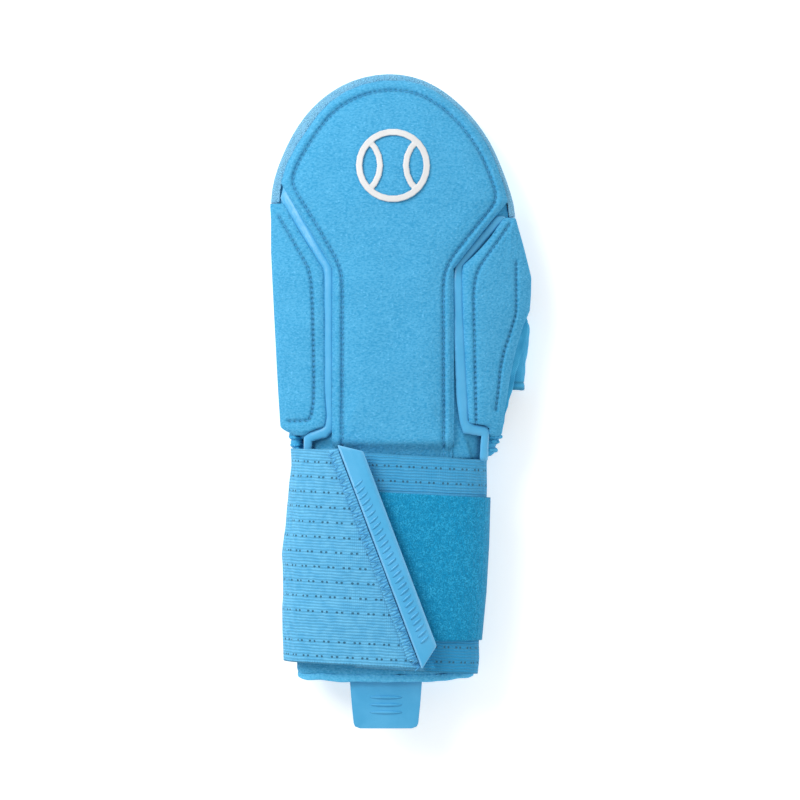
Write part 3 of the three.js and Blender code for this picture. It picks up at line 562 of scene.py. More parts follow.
def nothing_selected() -> None:
    """Leaves edit mode and deselects everything."""
    if bpy.context.mode != "OBJECT":
        bpy.ops.object.mode_set(mode="OBJECT")
    bpy.ops.object.select_all(action="DESELECT")


def take(piece: bpy.types.Object) -> None:
    """Selects one piece alone and makes it active.

    Args:
        piece: the piece.
    """
    nothing_selected()
    piece.select_set(True)
    bpy.context.view_layer.objects.active = piece


def copy_of(node: str, name: str) -> bpy.types.Object:
    """Copies a solid's mesh into a new piece and merges its doubled vertices.

    Args:
        node: name of the solid's node.
        name: name of the new piece.

    Returns:
        The new piece, selected.
    """
    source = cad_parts[node]
    mesh = source.data.copy()
    mesh.materials.clear()
    piece = bpy.data.objects.new(name, mesh)
    bpy.context.scene.collection.objects.link(piece)
    take(piece)
    bpy.ops.object.mode_set(mode="EDIT")
    bpy.ops.mesh.select_all(action="SELECT")
    bpy.ops.mesh.remove_doubles(threshold=0.01 * MM)
    bpy.ops.object.mode_set(mode="OBJECT")
    piece.data.name = name
    return piece


def new_piece(name: str, points: np.ndarray, faces: list) -> bpy.types.Object:
    """Makes a piece from points and faces.

    Args:
        name: name of the piece.
        points: its vertices in millimetres.
        faces: the vertices' numbers of each face.

    Returns:
        The new piece.
    """
    mesh = bpy.data.meshes.new(name)
    mesh.from_pydata((points * MM).tolist(), [], faces)
    mesh.update()
    piece = bpy.data.objects.new(name, mesh)
    bpy.context.scene.collection.objects.link(piece)
    return piece


def modified(piece: bpy.types.Object, kind: str, **settings: object) -> None:
    """Adds a modifier to a piece and applies it.

    Args:
        piece: the piece.
        kind: the modifier's type.
        settings: attributes of the modifier.
    """
    take(piece)
    modifier = piece.modifiers.new(kind.title(), kind)
    for key, value in settings.items():
        setattr(modifier, key, value)
    bpy.ops.object.modifier_apply(modifier=modifier.name)


def relaxed(piece: bpy.types.Object, rounds: int, level: bool = False) -> None:
    """Smooths a piece a few times, its points moving up and down alone if level."""
    modified(piece, "SMOOTH", factor=0.5, iterations=rounds, use_x=not level, use_y=not level)


def worked(
    node: str, name: str, longest: float, rounds: int, level: bool = False
) -> bpy.types.Object:
    """Copies a solid, cuts it fine and rounds its facets.

    Args:
        node: name of the solid's node.
        name: name of the new piece.
        longest: length in millimetres that an edge may keep.
        rounds: how often it is smoothed.
        level: whether the smoothing moves its points up and down alone.

    Returns:
        The new piece.
    """
    piece = copy_of(node, name)
    finer(piece, longest)
    relaxed(piece, rounds, level)
    return piece


def finer(piece: bpy.types.Object, longest: float) -> None:
    """Cuts the edges longer than a length in two until none is left.

    Args:
        piece: the piece, of triangles.
        longest: length in millimetres that an edge may keep.
    """
    take(piece)
    for _ in range(8):
        at = points_of(piece)
        ends = np.array([e.vertices[:] for e in piece.data.edges])
        span = np.linalg.norm(at[ends[:, 0]] - at[ends[:, 1]], axis=1)
        chosen = span > longest
        if not chosen.any():
            return
        piece.data.polygons.foreach_set("select", [False] * len(piece.data.polygons))
        piece.data.vertices.foreach_set("select", [False] * len(piece.data.vertices))
        piece.data.edges.foreach_set("select", chosen.tolist())
        bpy.ops.object.mode_set(mode="EDIT")
        bpy.ops.mesh.select_mode(type="EDGE")
        bpy.ops.mesh.subdivide(number_cuts=1, quadcorner="INNERVERT", ngon=False)
        bpy.ops.mesh.select_all(action="SELECT")
        bpy.ops.mesh.quads_convert_to_tris(quad_method="BEAUTY", ngon_method="BEAUTY")
        bpy.ops.object.mode_set(mode="OBJECT")


def points_of(piece: bpy.types.Object) -> np.ndarray:
    """Gives a piece's vertices.

    Args:
        piece: the piece.

    Returns:
        One row for each vertex, in millimetres.
    """
    flat = np.empty(len(piece.data.vertices) * 3)
    piece.data.vertices.foreach_get("co", flat)
    return flat.reshape(-1, 3) / MM


def normals_of(piece: bpy.types.Object) -> np.ndarray:
    """Gives the normals at a piece's vertices.

    Args:
        piece: the piece.

    Returns:
        One row for each vertex.
    """
    flat = np.empty(len(piece.data.vertices) * 3)
    piece.data.vertex_normals.foreach_get("vector", flat)
    return flat.reshape(-1, 3)


def set_points(piece: bpy.types.Object, points: np.ndarray) -> None:
    """Moves a piece's vertices to points in millimetres."""
    piece.data.vertices.foreach_set("co", (points * MM).ravel())
    piece.data.update()


def marked(piece: bpy.types.Object, name: str, values: np.ndarray | float) -> None:
    """Stores numbers or vectors at the vertices, for the finish to read.

    Args:
        piece: the piece.
        name: the attribute's name.
        values: a value for each vertex, or one number for all.
    """
    if isinstance(values, float):
        values = np.full(len(piece.data.vertices), values)
    vector = values.ndim == 2
    layer = piece.data.attributes.new(name, "FLOAT_VECTOR" if vector else "FLOAT", "POINT")
    layer.data.foreach_set("vector" if vector else "value", values.astype(float).ravel())


def smoothed(piece: bpy.types.Object, angle: float = 180.0) -> None:
    """Shades a piece smooth.

    Args:
        piece: the piece.
        angle: the turn in degrees from which an edge stays sharp.
    """
    take(piece)
    if angle >= 180:
        bpy.ops.object.shade_smooth()
    else:
        bpy.ops.object.shade_smooth_by_angle(angle=math.radians(angle))


def ripple(points: np.ndarray, length: float, seed: float = 0.0) -> np.ndarray:
    """Gives a slow, irregular wave of about -1 to 1 over points, the same on every run.

    Args:
        points: places in millimetres.
        length: rough distance from one crest to the next.
        seed: sets one ripple apart from another.

    Returns:
        One height for each point.
    """
    total = np.zeros(len(points))
    for turn in range(6):
        a = seed * 1.7 + turn * 2.399
        way = np.array([math.cos(a), math.sin(a), 0.6 * math.cos(a * 1.3 + seed)])
        pace = math.tau / length * (0.7 + 0.13 * turn)
        total += np.sin(points @ way * pace + 1.9 * turn + seed)
    return total / 3.2


def bell(value: np.ndarray, width: float, power: int = 2) -> np.ndarray:
    """Gives a bump that is 1 where the value is 0 and fades over a width."""
    return np.exp(-((value / width) ** power))


def ease(value: np.ndarray, low: float, high: float) -> np.ndarray:
    """Gives a smooth rise from 0 to 1.

    Args:
        value: the numbers to read.
        low: where the rise begins.
        high: where it ends.

    Returns:
        One share for each number.
    """
    t = np.clip((value - low) / (high - low), 0, 1)
    return t * t * (3 - 2 * t)


class Line:
    """A smooth line across the mitt, seen from above."""

    def __init__(self, points: Sequence[Flat], closed: bool = False, rounds: int = 2) -> None:
        """Rounds the corners of a row of points.

        Args:
            points: the line's points in millimetres.
            closed: whether the last point joins the first.
            rounds: how often the corners are cut.
        """
        path = [np.array(p, float) for p in points]
        for _ in range(rounds):
            cut = [] if closed else [path[0]]
            for a, b in zip(path, path[1:] + (path[:1] if closed else [])):
                cut += [a * 0.75 + b * 0.25, a * 0.25 + b * 0.75]
            path = cut if closed else cut + [path[-1]]
        if closed:
            path.append(path[0])
        self.points = np.array(path)
        self.steps = np.linalg.norm(np.diff(self.points, axis=0), axis=1)
        self.length = float(self.steps.sum())

    def away(self, flat: np.ndarray) -> tuple[np.ndarray, np.ndarray]:
        """Measures points against the line.

        Args:
            flat: the points, in two columns.

        Returns:
            Each point's distance from the line, and how far along it is nearest.
        """
        best = np.full(len(flat), np.inf)
        along = np.zeros(len(flat))
        start = 0.0
        for a, b, step in zip(self.points, self.points[1:], self.steps):
            if step < TINY:
                continue
            way = (b - a) / step
            t = np.clip((flat - a) @ way, 0, step)
            gap = np.linalg.norm(flat - a - t[:, None] * way, axis=1)
            nearer = gap < best
            best[nearer] = gap[nearer]
            along[nearer] = start + t[nearer]
            start += step
        return best, along

    def at(self, distance: float) -> tuple[np.ndarray, np.ndarray]:
        """Follows the line for a distance.

        Args:
            distance: how far, in millimetres.

        Returns:
            The place there and the line's direction.
        """
        start = 0.0
        for a, b, step in zip(self.points, self.points[1:], self.steps):
            if distance <= start + step or b is self.points[-1]:
                way = (b - a) / max(step, TINY)
                return a + way * (distance - start), way
            start += step
        return self.points[-1], (self.points[-1] - self.points[-2]) / max(self.steps[-1], TINY)

    def spaced(self, count: int) -> list[tuple[np.ndarray, np.ndarray]]:
        """Gives the place and the direction at the middles of equal parts of the line."""
        return [self.at((number + 0.5) * self.length / count) for number in range(count)]


class Cover:
    """The outer surface of one or more pieces, for laying small things on it."""

    def __init__(self, *covered: bpy.types.Object) -> None:
        """Reads the pieces' faces.

        Args:
            covered: the pieces.
        """
        points, faces = [], []
        for piece in covered:
            start = len(points)
            points += [tuple(p) for p in points_of(piece)]
            faces += [[start + i for i in face.vertices] for face in piece.data.polygons]
        self.tree = BVHTree.FromPolygons(points, faces)

    def drop(self, x: float, y: float, top: float = 80.0) -> tuple[Vector, Vector] | None:
        """Lets a point down from above.

        Args:
            x: its place across the mitt.
            y: its place along the mitt.
            top: the height that it starts from.

        Returns:
            The place and the normal where it lands, or nothing.
        """
        place, normal, _, _ = self.tree.ray_cast(Vector((x, y, top)), Vector((0, 0, -1)))
        return None if place is None else (place, normal)


def gathered(name: str, pieces: Sequence[bpy.types.Object]) -> bpy.types.Object:
    """Joins pieces into one.

    Args:
        name: name of the joined piece.
        pieces: what is joined.

    Returns:
        The joined piece.
    """
    nothing_selected()
    for piece in pieces:
        piece.select_set(True)
    bpy.context.view_layer.objects.active = pieces[0]
    bpy.ops.object.join()
    pieces[0].name = name
    pieces[0].data.name = name
    return pieces[0]


def repeated(name: str, model: bpy.types.Object, places: Sequence[Matrix]) -> bpy.types.Object:
    """Copies a small model to many places as one piece, and drops the model.

    Args:
        name: name of the new piece.
        model: the shape, modelled at the origin, in metres.
        places: a matrix for each copy, its translation in millimetres.

    Returns:
        The new piece.
    """
    shape = points_of(model)
    faces = [list(face.vertices) for face in model.data.polygons]
    rows, all_faces = [], []
    for number, place in enumerate(places):
        turn = np.array(place.to_3x3())
        rows.append(shape @ turn.T + np.array(place.translation))
        all_faces += [[number * len(shape) + i for i in face] for face in faces]
    bpy.data.objects.remove(model, do_unlink=True)
    return new_piece(name, np.concatenate(rows), all_faces)


def grain_model(length: float, width: float, height: float) -> bpy.types.Object:
    """Models a small rounded grain at the origin, for a stitch or a grip ridge.

    Args:
        length: its length along X, in millimetres.
        width: its width along Y.
        height: its height along Z.

    Returns:
        The model.
    """
    nothing_selected()
    bpy.ops.mesh.primitive_uv_sphere_add(segments=8, ring_count=6, radius=0.5 * MM)
    grain = bpy.context.object
    bpy.ops.object.mode_set(mode="EDIT")
    bpy.ops.mesh.select_all(action="SELECT")
    bpy.ops.transform.rotate(value=math.pi / 2, orient_axis="Y", center_override=(0, 0, 0))
    bpy.ops.transform.resize(value=(length, width, height), center_override=(0, 0, 0))
    bpy.ops.object.mode_set(mode="OBJECT")
    return grain


def lying(place: Vector, normal: Vector, way: Sequence[float]) -> Matrix:
    """Turns a small thing so that it lies on a surface.

    Args:
        place: where it lies, in millimetres.
        normal: the surface's normal, which its Z follows.
        way: the direction across the mitt that its X follows.

    Returns:
        The matrix of the place and the turn.
    """
    up = normal.normalized()
    along = Vector((way[0], way[1], 0.0))
    along = (along - up * along.dot(up)).normalized()
    across = up.cross(along)
    turn = Matrix((along, across, up)).transposed().to_4x4()
    turn.translation = place
    return turn


def stitched(
    name: str, line: Line, cover: Cover, pitch: float, thread: float, lift: float = 0.1
) -> bpy.types.Object:
    """Sews a row of stitches along a line on a cover.

    Args:
        name: name of the row.
        line: where the row runs.
        cover: what it is sewn on.
        pitch: distance from one stitch to the next.
        thread: width of the thread.
        lift: how far the middle of a stitch lies above the cover.

    Returns:
        The row as one piece.
    """
    places = []
    for spot, way in line.spaced(max(int(line.length / pitch), 1)):
        landed = cover.drop(spot[0], spot[1])
        if landed:
            place, normal = landed
            places.append(lying(place + normal * lift, normal, way))
    grain = grain_model(pitch * STITCH_LENGTH, thread, thread * STITCH_HEIGHT)
    return repeated(name, grain, places)


def settled(
    piece: bpy.types.Object, pressure: float, cap: float, seat: float, steps: int = 20
) -> None:
    """Fills a piece like a pad with the cloth simulation and applies the result.

    Args:
        piece: the closed cover.
        pressure: air pressure inside it.
        cap: how far in millimetres a point may move.
        seat: the normal's height below which the cover is held fast.
        steps: how long the cloth moves.
    """
    before = points_of(piece)
    held = piece.vertex_groups.new(name="seat")
    held.add(np.nonzero(normals_of(piece)[:, 2] < seat)[0].tolist(), 1.0, "REPLACE")
    take(piece)
    cloth = piece.modifiers.new("Filling", "CLOTH")
    cloth.settings.quality = 4
    cloth.settings.mass = 0.3
    cloth.settings.tension_stiffness = 18
    cloth.settings.compression_stiffness = 12
    cloth.settings.bending_stiffness = 0.8
    cloth.settings.use_pressure = True
    cloth.settings.uniform_pressure_force = pressure
    cloth.settings.effector_weights.gravity = 0.0
    cloth.settings.vertex_group_mass = "seat"
    cloth.collision_settings.use_collision = False
    cloth.point_cache.frame_start = 1
    cloth.point_cache.frame_end = steps
    for step in range(1, steps + 1):
        bpy.context.scene.frame_set(step)
    bpy.ops.object.modifier_apply(modifier=cloth.name)
    bpy.context.scene.frame_set(1)
    piece.vertex_groups.clear()
    moved = points_of(piece) - before
    far = np.linalg.norm(moved, axis=1)
    share = np.minimum(1.0, cap / np.maximum(far, TINY))
    set_points(piece, before + moved * share[:, None])


def placed(piece: bpy.types.Object, slot: Slot, finish: bpy.types.Material, *nodes: str) -> None:
    """Gives a piece its finish and its body, and hides the solids that it stands for.

    Args:
        piece: the piece.
        slot: its material slot; not used.
        finish: its material.
        nodes: the solids' nodes.
    """
    piece.data.materials.clear()
    piece.data.materials.append(finish)
    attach(piece, "root")
    if nodes:
        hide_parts(*nodes)
    log.info("%s: %d faces", piece.name, len(piece.data.polygons))


def dressed(
    piece: bpy.types.Object,
    slot: Slot,
    finish: bpy.types.Material,
    *nodes: str,
    angle: float = 180.0,
    **marks: np.ndarray | float,
) -> None:
    """Marks a piece, shades it smooth and places it.

    Args:
        piece: the piece.
        slot: its material slot.
        finish: its material.
        nodes: the nodes of the solids that it stands for.
        angle: the turn in degrees from which an edge stays sharp.
        marks: values at its vertices, by attribute.
    """
    for name, values in marks.items():
        marked(piece, name, values)
    smoothed(piece, angle)
    placed(piece, slot, finish, *nodes)


@dataclass(frozen=True)
class Palette:
    """Every finish of the mitt, made once."""

    knit: bpy.types.Material
    body: bpy.types.Material
    hem: bpy.types.Material
    stretch: bpy.types.Material
    ribbed: bpy.types.Material
    loop: bpy.types.Material
    satin: bpy.types.Material
    tab: bpy.types.Material
    bumper: bpy.types.Material
    pale: bpy.types.Material
    thread: bpy.types.Material

    @classmethod
    def mixed(cls) -> "Palette":
        """Mixes the sky-blue family and the pale ornament."""
        return cls(
            knit=KnitFinish("napped_knit", (0.09, 0.415, 0.69), (0.038, 0.31, 0.57)).make(),
            body=KnitFinish("pocket_knit", (0.08, 0.4, 0.67), (0.035, 0.3, 0.56), 0.2).make(),
            # a lighter copy of the knit, painted light for the hem's faces that turn from the lamps
            hem=KnitFinish("hem_knit_painted_light", (0.13, 0.53, 0.84), (0.07, 0.42, 0.72), 0.3).make(),
            stretch=StretchFinish("stretch_knit", (0.05, 0.42, 0.72), (0.028, 0.33, 0.62)).make(),
            ribbed=RibFinish("ribbed_elastic", (0.15, 0.53, 0.84), (0.1, 0.44, 0.75)).make(),
            loop=LoopFinish("brushed_loop", (0.045, 0.5, 0.83), (0.007, 0.32, 0.62)).make(),
            satin=RubberFinish("satin_rubber", (0.085, 0.43, 0.74), (0.065, 0.4, 0.7), 0.34).make(),
            tab=RubberFinish("tab_rubber", (0.08, 0.42, 0.72), (0.055, 0.37, 0.66), 0.46, 0.08).make(),
            bumper=ReliefFinish("bumper_rubber", (0.28, 0.68, 0.97), (0.19, 0.58, 0.91)).make(),
            pale=RubberFinish("pale_rubber", (0.75, 0.73, 0.725), (0.7, 0.68, 0.68), 0.5, 0.05).make(),
            thread=ThreadFinish("blue_thread", (0.09, 0.43, 0.76), (0.03, 0.28, 0.58)).make(),
        )


# Sub-assemblies


@dataclass
class BackPanels:
    """The three padded panels of the back, with their sewn-down edges."""

    palette: Palette
    arch_y: float = 92.0
    axis_x: float = -3.6
    inset: float = 4.4
    groove: float = 1.25
    groove_width: float = 0.8
    swell: float = 1.1
    spread: float = 0.38
    roll: float = 0.65
    pitch: float = 2.4
    thread: float = 0.46
    foot: float = -21.4
    tuck: float = 7.5
    pressure: float = 4.0
    fill: float = 0.5
    pucker: float = 0.1
    sag: float = 0.35
    wave: float = 0.3
    ribbing: float = 0.1
    row: float = 3.0
    centre_edges: Flat = (2.4, 1.15)
    side_edges: Flat = (2.2, 1.05)

    def outline(self, piece: bpy.types.Object) -> list[Flat]:
        """Traces the centre panel's edge, up the left side, round the arch and down the right.

        Args:
            piece: the panel.

        Returns:
            The edge's points.
        """
        at = points_of(piece)
        low = at[:, 1].min()
        left, right = [], []
        for y in np.arange(low + self.row, self.arch_y, self.row):
            row = at[np.abs(at[:, 1] - y) < 1.6]
            left.append((row[:, 0].min(), y))
            right.append((row[:, 0].max(), y))
        arch = []
        flat = at[:, :2] - np.array((self.axis_x, self.arch_y))
        angle = np.degrees(np.arctan2(flat[:, 1], flat[:, 0]))
        reach = np.linalg.norm(flat, axis=1)
        for turn in np.arange(176.0, 3.0, -4.0):
            near = reach[np.abs(angle - turn) < 2.2].max()
            a = math.radians(turn)
            arch.append((self.axis_x + near * math.cos(a), self.arch_y + near * math.sin(a)))
        return left + arch + right[::-1]

    def drawn_in(self, edge: list[Flat], inset: float) -> Line:
        """Draws an edge inwards.

        Args:
            edge: the edge's points, traced clockwise.
            inset: how far the line lies inside it.

        Returns:
            The line.
        """
        path = np.array(edge)
        way = np.gradient(path, axis=0)
        way /= np.linalg.norm(way, axis=1)[:, None]
        inner = path + np.stack((way[:, 1], -way[:, 0]), axis=1) * inset
        for _ in range(3):
            inner[1:-1] = (inner[:-2] + 2 * inner[1:-1] + inner[2:]) / 4
        return Line([tuple(p) for p in inner])

    def shaped(self, node: str, name: str, edges: Flat) -> bpy.types.Object:
        """Copies a panel, fills it and refines it.

        Args:
            node: the solid's node.
            name: the new piece.
            edges: longest edge for the filling, and that of the finished cover.

        Returns:
            The panel without its seams.
        """
        coarse, fine = edges
        piece = worked(node, name, coarse, 4, level=True)
        settled(piece, self.pressure, self.swell, -0.2)
        finer(piece, fine)
        relaxed(piece, 3, level=True)
        return piece

    def sewn(self, piece: bpy.types.Object, seams: Sequence[Line], border: Line | None = None) -> None:
        """Presses the stitched grooves into a panel and rolls the strip outside them.

        Args:
            piece: the panel.
            seams: its stitch lines.
            border: the panel's own edge, where the roll is cross-ribbed.
        """
        at = points_of(piece)
        up = ease(normals_of(piece)[:, 2], 0.05, 0.5)
        crease = np.zeros(len(at))
        drop = np.zeros(len(at))
        for line in seams:
            away, along = line.away(at[:, :2])
            pull = bell(away, self.groove_width)
            folds = bell(away, 3.2) * np.cos(math.tau * along / self.pitch)
            drop = np.maximum(drop, pull * self.groove)
            at[:, 2] += up * folds * self.pucker
            at[:, 2] -= up * self.sag * bell(away, 4.0)
            # painted shade in the seam's groove, deepest at the stitch holes
            dots = 0.55 + 0.45 * np.cos(math.tau * (along / self.pitch + 0.5))
            crease = np.maximum(crease, dots * bell(away, 0.6))
        if border is not None:
            rim, along = border.away(at[:, :2])
            rolled = (1 - ease(rim, self.inset - 1.4, self.inset - 0.4)) * up
            at[:, 2] += rolled * self.ribbing * np.sin(math.tau * along / 1.3)
            at[:, 2] += up * self.roll * bell(rim - self.inset / 2, 1.2)
        at[:, 2] -= up * drop
        at[:, 2] += up * self.wave * ripple(at, 26.0, 1.3)
        out = normals_of(piece)
        level = np.linalg.norm(out[:, :2], axis=1)
        at[:, :2] += out[:, :2] * (self.spread * ease(level, 0.2, 0.7))[:, None]
        set_points(piece, at)
        # painted shade on the panels' steep and downward faces
        side = 1 - ease(normals_of(piece)[:, 2], -0.1, 0.45)
        crease = np.maximum(crease, 0.2 * side)
        # painted shadow on the centre panel's foot, where it dips under the strap
        if border is not None:
            crease = np.maximum(crease, 0.3 * ease(-at[:, 1], 17.0, 22.5))
        marked(piece, "crease", crease)
        smoothed(piece)

    def tucked(self, piece: bpy.types.Object) -> None:
        """Draws the centre panel's foot down and on under the strap.

        Args:
            piece: the panel.
        """
        at = points_of(piece)
        share = ease(-at[:, 1], -self.foot - 5.0, -self.foot)
        inset = np.clip((at[:, 1] - self.foot) / 6.0, 0, 1)
        thick = 1.6 + 2.6 * np.sqrt(1 - (1 - inset) ** 2)
        at[:, 1] -= self.tuck * share
        dip = ease(-at[:, 1], -self.foot - 3.0, -self.foot + 1.5)
        up = ease(normals_of(piece)[:, 2], -0.2, 0.2)
        at[:, 2] -= up * dip * (thick - 0.3)
        set_points(piece, at)

    def build(self) -> None:
        """Builds the panels and their stitches."""
        centre = self.shaped("center_panel", "centre_cover", self.centre_edges)
        self.tucked(centre)
        at, out = points_of(centre), normals_of(centre)
        at[:, :2] += out[:, :2] * (0.55 * ease(at[:, 1], 72.0, 96.0))[:, None]
        set_points(centre, at)
        edge = self.outline(centre)
        inner = self.drawn_in(edge, self.inset)
        self.sewn(centre, [inner], Line(edge))
        seam_points = (
            ((279, 216), (288, 232), (305, 261), (312, 276), (314, 330), (315, 420), (300, 421), (289, 421)),
            ((509.6, 224), (490, 252), (473, 276.5), (474, 330), (476, 425)),
            (
                (515.5, 262), (515.5, 313), (514, 318), (507, 341),
                (504, 349), (500, 366), (498, 386.5), (495, 410),
            ),
        )
        left_seam, right_seam, right_outer = (Line(traced(*points)) for points in seam_points)
        left = self.shaped("side_panel_left", "left_cover", self.side_edges)
        at = points_of(left)
        at[:, 0] += 3.4 * ease(-at[:, 1], 12.2, 16.0) * ease(-at[:, 0], 46.0, 54.0)
        set_points(left, at)
        self.sewn(left, [left_seam])
        right = self.shaped("side_panel_right", "right_cover", self.side_edges)
        at = points_of(right)
        at[:, 0] += 1.7 * ease(at[:, 1], 58.0, 70.0) * ease(-at[:, 0], -48.0, -38.0)
        set_points(right, at)
        self.sewn(right, [right_seam, right_outer])
        pairs = ((centre, "center_panel"), (left, "side_panel_left"), (right, "side_panel_right"))
        for piece, node in pairs:
            placed(piece, Slot.KNIT, self.palette.knit, node)
        cover = Cover(centre, left, right)
        for name, line in (
            ("centre_stitches", inner),
            ("left_stitches", left_seam),
            ("right_stitches", right_seam),
            ("right_outer_stitches", right_outer),
        ):
            row = stitched(name, line, cover, self.pitch, self.thread)
            dressed(row, Slot.KNIT, self.palette.thread)


@dataclass
class Bumper:
    """The moulded rim round the fingertips, its relief field and its rolled border."""

    palette: Palette
    arch_y: float = 92.0
    axis_x: float = -3.6
    edge: float = 1.5
    flare_out: float = 2.0
    flare_up: float = 0.7
    drawn: float = 1.05

    def build(self) -> None:
        """Builds the rim and marks its relief field."""
        piece = worked("tip_rim", "fingertip_bumper", self.edge, 2)
        at = points_of(piece)
        flat = at[:, :2] - np.array((self.axis_x, self.arch_y))
        angle = np.degrees(np.arctan2(flat[:, 1], flat[:, 0]))
        reach = np.linalg.norm(flat, axis=1)
        turns = np.arange(-12.0, 193.0, 3.0)
        wrapped = np.where(angle < -90, angle + 360, angle)
        inner = np.array([reach[np.abs(wrapped - t) < 3.2].min(initial=90.0) for t in turns])
        inside = reach - np.interp(wrapped, turns, inner)
        up = ease(normals_of(piece)[:, 2], -0.4, 0.1)
        flare = ease(-wrapped, -10.0, 1.0) * (1 - ease(inside, 0.0, 2.4))
        at[:, 0] -= self.flare_out * flare
        at[:, 2] += self.flare_up * flare
        at[:, 1] -= self.drawn * (ease(wrapped, 176.0, 180.0) + ease(-wrapped, 2.5, 6.5))
        set_points(piece, at)
        # painted shade along the rim's inner edge, where it meets the panel
        crease = 0.1 * bell(inside, 0.7) * up
        finish = self.palette.bumper
        dressed(piece, Slot.BUMPER, finish, "tip_rim", angle=50, relief=up, crease=crease)


@dataclass
class Channels:
    """The smooth strips that lie in the channels between the panels."""

    palette: Palette
    pocket: bpy.types.Object
    tuck: float = 3.4
    spread: float = 0.5
    edge: float = 1.6
    wave: float = 0.12
    sunk: float = 0.45
    left_end: float = 86.0
    right_bend: float = 55.0

    def drawn_up(self, at: np.ndarray) -> None:
        """Draws the left strip's upper end to a point between the rim and the centre panel.

        Args:
            at: the strip's points, which are moved over the pocket.
        """
        cover = Cover(self.pocket)
        share = ease(at[:, 1], self.left_end, at[:, 1].max())
        across = np.clip((at[:, 0] + 54.0 - (90.8 - at[:, 1]) * 0.59) / 4.3, 0, 1)
        for index in np.nonzero(share > 0.01)[0]:
            before = cover.drop(at[index, 0], at[index, 1])
            at[index, 0] -= share[index] * (0.8 + 2.8 * across[index])
            at[index, 1] += share[index] * (1.8 + 5.4 * across[index])
            after = cover.drop(at[index, 0], at[index, 1])
            if before and after:
                at[index, 2] += after[0].z - before[0].z

    def build(self) -> None:
        """Builds both strips, the right one sunk where the panels' edges meet over it."""
        for node, name in (("channel_strip_left", "left_strip"), ("channel_strip_right", "right_strip")):
            piece = worked(node, name, self.edge, 4, level=True)
            at, out = points_of(piece), normals_of(piece)
            at[:, :2] += out[:, :2] * self.spread
            foot = at[:, 1].min()
            at[:, 1] -= self.tuck * ease(-at[:, 1], -foot - 5.0, -foot)
            at[:, 2] += self.wave * ripple(at, 17.0, 2.0)
            crease = np.zeros(len(at))
            if node == "channel_strip_left":
                self.drawn_up(at)
            else:
                sunk = ease(at[:, 1], self.right_bend, self.right_bend + 5)
                at[:, 2] -= self.sunk * sunk
                # painted shade on the right strip where it lies sunk under the panels' edges, lighter
                # further up
                crease = sunk * (0.4 - 0.3 * ease(at[:, 1], 62.0, 84.0))
            set_points(piece, at)
            # painted highlight on the strips' faces that tilt away from the top
            rubbed = 0.5 * (1 - ease(normals_of(piece)[:, 2], 0.5, 0.9))
            finish = self.palette.satin
            dressed(piece, Slot.SATIN, finish, node, angle=60, crease=crease, rubbed=rubbed)


